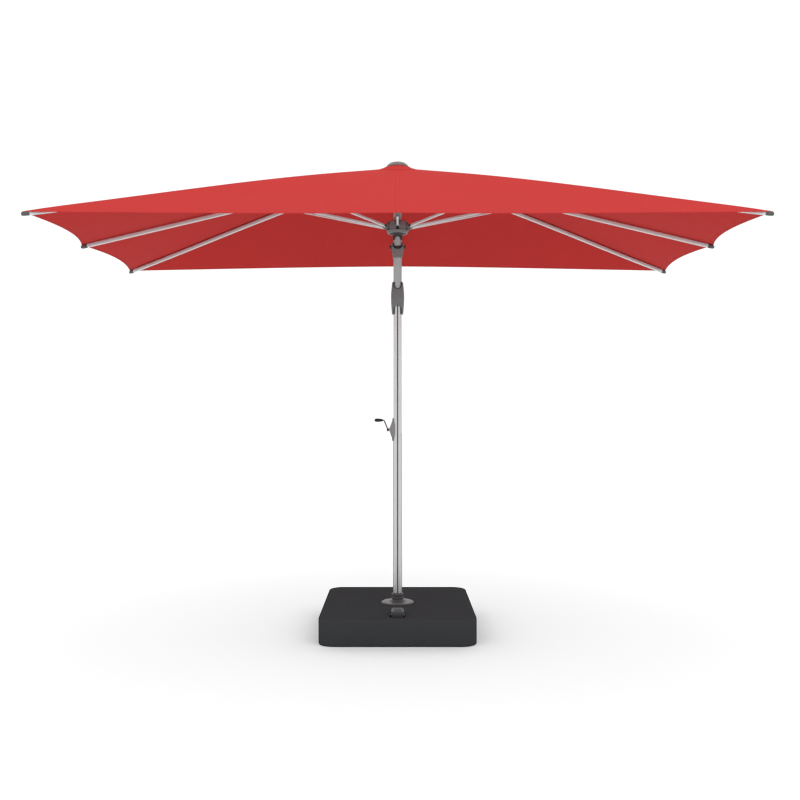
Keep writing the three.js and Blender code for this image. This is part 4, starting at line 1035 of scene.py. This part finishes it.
# The same painted shade liner, in the knuckle's scoop.
knuckle_painted_shade = scooped("knuckle_painted_shade", [(23.8, k - 58), (26.8, k - 58), (26.8, k - 1.6), (23.8, k - 1.6)],
                        17.6, k - 37, black_rubber)
screw = bolt("screw", np.array([0, 0.0372, (b + 75) * MM]), EAR_AXES, 1.6, 3.2, zinc)
merge(soften(knuckle, 0.9), knuckle_painted_shade, screw)
stands_for(knuckle, "mast", "grey_plastic", "knuckle")

# %% [markdown]
# ## Mast and crank
# The mast's profile is round with two flat bands, front and back, and a groove down the middle
# of each. A near-black strip at the bottom of each groove is painted shade for the groove's shadow.

# %% Mast
HALF_FLAT, FLAT_Y = 12.5, 20.49
edge_deg = math.degrees(math.acos(HALF_FLAT / 24))
groove = rounded([(3.9, FLAT_Y), (3.2, FLAT_Y - 0.9), (3.2, FLAT_Y - 4), (-3.2, FLAT_Y - 4),
                  (-3.2, FLAT_Y - 0.9), (-3.9, FLAT_Y)], 0.3, 2)
outline = np.vstack([arc((0, 0), 24, -edge_deg, edge_deg, 40), groove,
                     arc((0, 0), 24, 180 - edge_deg, 180 + edge_deg, 40), -groove])
mast = prism("mast_bar", outline, MAST_FOOT, MAST_TOP, "z", aluminium)
# Painted shade: a dark strip down the bottom of each groove.
groove_shade_strips = [prism("groove_painted_shade", [(-3.1, s * (FLAT_Y - 4.0)), (3.1, s * (FLAT_Y - 4.0)),
                                 (3.1, s * (FLAT_Y - 3.2)), (-3.1, s * (FLAT_Y - 3.2))],
                MAST_FOOT + 1, MAST_TOP - 1, "z", groove_shade_metal) for s in (-1, 1)]
merge(mast, *groove_shade_strips)
stands_for(mast, "mast", "silver_aluminium", "lower_mast")

# %% Crank
c = CRANK_HEIGHT
housing_side = np.vstack([[(-14, -63)], [(-22, -64)], arc((-24, -60), 4, 240, 200, 4),
                          [(-31, -42), (-40, -20), (-45.5, -9), (-48, 0), (-45.5, 9), (-40, 22),
                           (-33, 42), (-29, 56)], arc((-25, 60), 5, 170, 100, 4), [(-14, 65)]])
housing = prism("crank_cover", rounded(housing_side, 6, 3), -24, 24, "y", crank_plastic,
                (0, 0, c * MM))
lens_turn = np.linspace(0, 2 * np.pi, 64, endpoint=False)
ends_of = prism("lens", np.column_stack([22 * np.cos(lens_turn), 68 * np.sin(lens_turn)]), -90, 10, "x",
                crank_plastic, (0, 0, c * MM))
combine(housing, [ends_of], "INTERSECT")
MAST_SPACE = 24.2
bar_outline = [(0.1, c - 90), (MAST_SPACE, c - 90), (MAST_SPACE, c + 90), (0.1, c + 90)]
bar_space = turned("bar_space", bar_outline, crank_plastic, 96)
combine(housing, [bar_space], "DIFFERENCE")
stands_for(soften(housing, 1.6, 3), "mast", "grey_plastic", "crank_housing")

GRIP_START, GRIP_UP = -81, 53
arm_line = np.array([(-55, 0, c - 2), (-56.5, 0, c + 6), (-63, 0, c + 22), (-70, 0, c + 39),
                     (-73.5, 0, c + 47.5), (-76.5, 0, c + 52), (GRIP_START, 0, c + GRIP_UP)]) * MM
arm_t = np.linspace(0, 1, len(arm_line))
fine_t = np.linspace(0, 1, 40)
arm_path = np.column_stack([np.interp(fine_t, arm_t, arm_line[:, i]) for i in range(3)])
arm = swept("crank_lever", rounded([(-5, -3.6), (5, -3.6), (5, 3.6), (-5, 3.6)], 2, 4), arm_path, (0, 1, 0),
            dark_plastic)
boss_profile = [(1, -60.5), (8, -60.5), (9.6, -58), (9.6, -51.5), (8, -49), (1, -49)]
boss = turned("boss", rounded(boss_profile, 1.5, 4), dark_plastic, 48, "x", (0, 0, c * MM))
merge(arm, boss)
stands_for(arm, "crank", "dark_plastic", "crank_arm")
grip_profile = [(radius, GRIP_START - along) for radius, along in (
    (1, 0), (4.5, 0), (6.4, 3), (8, 12), (9.6, 24), (9.7, 36), (8.2, 44), (4.6, 48), (1, 48))]
grip = turned("crank_knob", rounded(grip_profile, 4, 5), black_rubber, 64, "x", (0, 0, (c + GRIP_UP) * MM))
stands_for(grip, "grip", "black_rubber", "crank_grip")

# %% [markdown]
# ## The base
# The cover is one moulding with upright sides, rounded corners and a small radius along its top
# edge. It is a stack of outlines: each is the rounded rectangle drawn in by some distance at some
# height. A round opening takes the mast and a well takes the pedal.

# %% Base cover
BASE_HALF_X, BASE_HALF_Y, CORNER = 408, 450, 80


def rounded_rectangle(half_x, half_y, radius, steps=24):
    """Four quarter circles joined by straight sides, anticlockwise."""
    quarters = [arc((sx * (half_x - radius), sy * (half_y - radius)), radius, start, start + 90, steps)
                for sx, sy, start in ((1, -1, -90), (1, 1, 0), (-1, 1, 90), (-1, -1, 180))]
    return np.vstack(quarters)


def stacked(name, half_x, half_y, radius, levels, material):
    """Rounded rectangles drawn in by levels[i][0] at height levels[i][1], closed at both ends."""
    rings = []
    for inset, height in levels:
        ring = rounded_rectangle(half_x - inset, half_y - inset, max(radius - inset, 1))
        rings.append(np.column_stack([ring, np.full(len(ring), height)]))
    points = np.array(rings) * MM
    faces = grid_faces(*points.shape[:2], False, True).tolist()
    count = points.shape[1]
    faces += [list(range(count)), list(range((len(levels) - 1) * count, len(levels) * count))]
    return finish_ngons(name, points, faces, material, 30)


edge = np.radians(np.linspace(0, 90, 7))
top_edge = [(7 * (1 - math.cos(a)), BASE_TOP - 7 * (1 - math.sin(a))) for a in edge]
foot_edge = [(3.0, 4.0), (1.0, 4.6), (0.0, 6.5)]
cover = stacked("base_cover", BASE_HALF_X, BASE_HALF_Y, CORNER, foot_edge + top_edge, charcoal)
inside = stacked("inside", BASE_HALF_X, BASE_HALF_Y, CORNER, [(5, 0), (5, BASE_TOP - 5)], charcoal)
hub_hole = turned("hole", [(0.1, 100), (41, 100), (41, 150), (0.1, 150)], charcoal, 96)
WELL_FRONT, WELL_BACK = -389, -254
well = stacked("well", 40, (WELL_BACK - WELL_FRONT) / 2, 14, [(0, 110), (0, 150)], charcoal)
well.data.transform(Matrix.Translation((0, (WELL_FRONT + WELL_BACK) / 2 * MM, 0)))
combine(cover, [inside, hub_hole, well], "DIFFERENCE")
stands_for(soften(cover, 1.0), "base", "charcoal_plastic", "base_shell")

# %% [markdown]
# The foot of the mast is a flat flange and a stepped collar with shallow grooves. The pedal is a
# rounded pad with three raised ribs.

# %% Foot and pedal
low = BASE_TOP + 0.5
flange = turned("flange", rounded([(46.8, low), (90, low), (90.4, low + 2.2), (84, low + 6.4), (62, low + 8),
                                   (46.8, low + 8.2)], 2, 4), flange_plastic, 160)
stands_for(flange, "base", "charcoal_plastic", "foot_flange")
collar_profile = [(12.6, low), (46, low), (46, low + 8.4), (43.6, low + 11.6), (36, low + 13.6),
                  (32.4, low + 18), (32.4, low + 21), (34, low + 23.4), (34, low + 30.4), (31.6, low + 32.6),
                  (31.6, low + 37.6), (33, low + 39.8), (33, low + 46.6), (31, low + 50), (28, low + 55),
                  (24.2, low + 55.4), (24.2, MAST_FOOT - 0.5), (12.6, MAST_FOOT - 0.5)]
foot = turned("foot", rounded(collar_profile, 1.2, 4), dark_plastic, 128)
stands_for(foot, "mast", "dark_plastic", "foot_collar")

PEDAL_FRONT, PEDAL_BACK = -381, -261
pedal_levels = [(6, 121), (2, 125), (1, 139), (0.4, 150), (1.4, 157), (4, 161.5), (8, 164), (14, 165)]
pedal = stacked("pedal_pad", 34.5, (PEDAL_BACK - PEDAL_FRONT) / 2, 20, pedal_levels, pedal_rubber)
pedal.data.transform(Matrix.Translation((0, (PEDAL_FRONT + PEDAL_BACK) / 2 * MM, 0)))
bars = [swept("pad_rib", rounded([(-2.4, -1), (2.4, -1), (1.8, 1.1), (-1.8, 1.1)], 0.8, 3),
              np.linspace((-0.021, y * MM, 0.1649), (0.021, y * MM, 0.1649), 6), (0, 1, 0), pedal_rubber)
        for y in (-352, -338, -324)]
merge(pedal, *bars)
stands_for(pedal, "pedal", "charcoal_plastic", "foot_pedal")

# %% [markdown]
# ## What stays as it is
# The parts inside keep their CAD shapes and get finishes only.

# %% Finishes for the inner parts
INNER = {
    cast_iron: ["base_frame", "ballast_plate_left", "ballast_plate_right"],
    black_rubber: ["base_foot_front_left", "base_foot_front_right", "base_foot_back_left",
                   "base_foot_back_right", "swivel_bush"],
    zinc: ["mast_spigot", "pedal_bracket", "pedal_pin", "rib_hinge_wire", "crank_drum", "pulley_axle"],
    dark_plastic: ["tilt_block", "lift_pulley"],
}
for material, names in INNER.items():
    for name in names:
        inner = bpy.data.objects[name]
        inner.data.materials.clear()
        inner.data.materials.append(material)
        inner.data.shade_smooth()
        inner.data.set_sharp_from_angle(angle=math.radians(35))

# %% [markdown]
# ## The ground
# A plain pale floor carries the soft shadow under the base and throws light up into the canopy.

# %% Ground
floor_mesh = bpy.data.meshes.new("floor")
floor_mesh.from_pydata([(-60, -60, 0), (60, -60, 0), (60, 60, 0), (-60, 60, 0)], [], [(0, 1, 2, 3)])
floor = bpy.data.objects.new("floor", floor_mesh)
scene.collection.objects.link(floor)
floor_material, floor_tree, floor_shader = new_material("studio_floor", 0.9)
floor_noise = node(floor_tree, "ShaderNodeTexNoise", Scale=0.7)
floor_tree.links.new(mixed(floor_tree, floor_noise.outputs[0], (0.79, 0.79, 0.79), (0.81, 0.81, 0.81)),
                     floor_shader.inputs["Base Color"])
floor_mesh.materials.append(floor_material)
floor.is_shadow_catcher = True
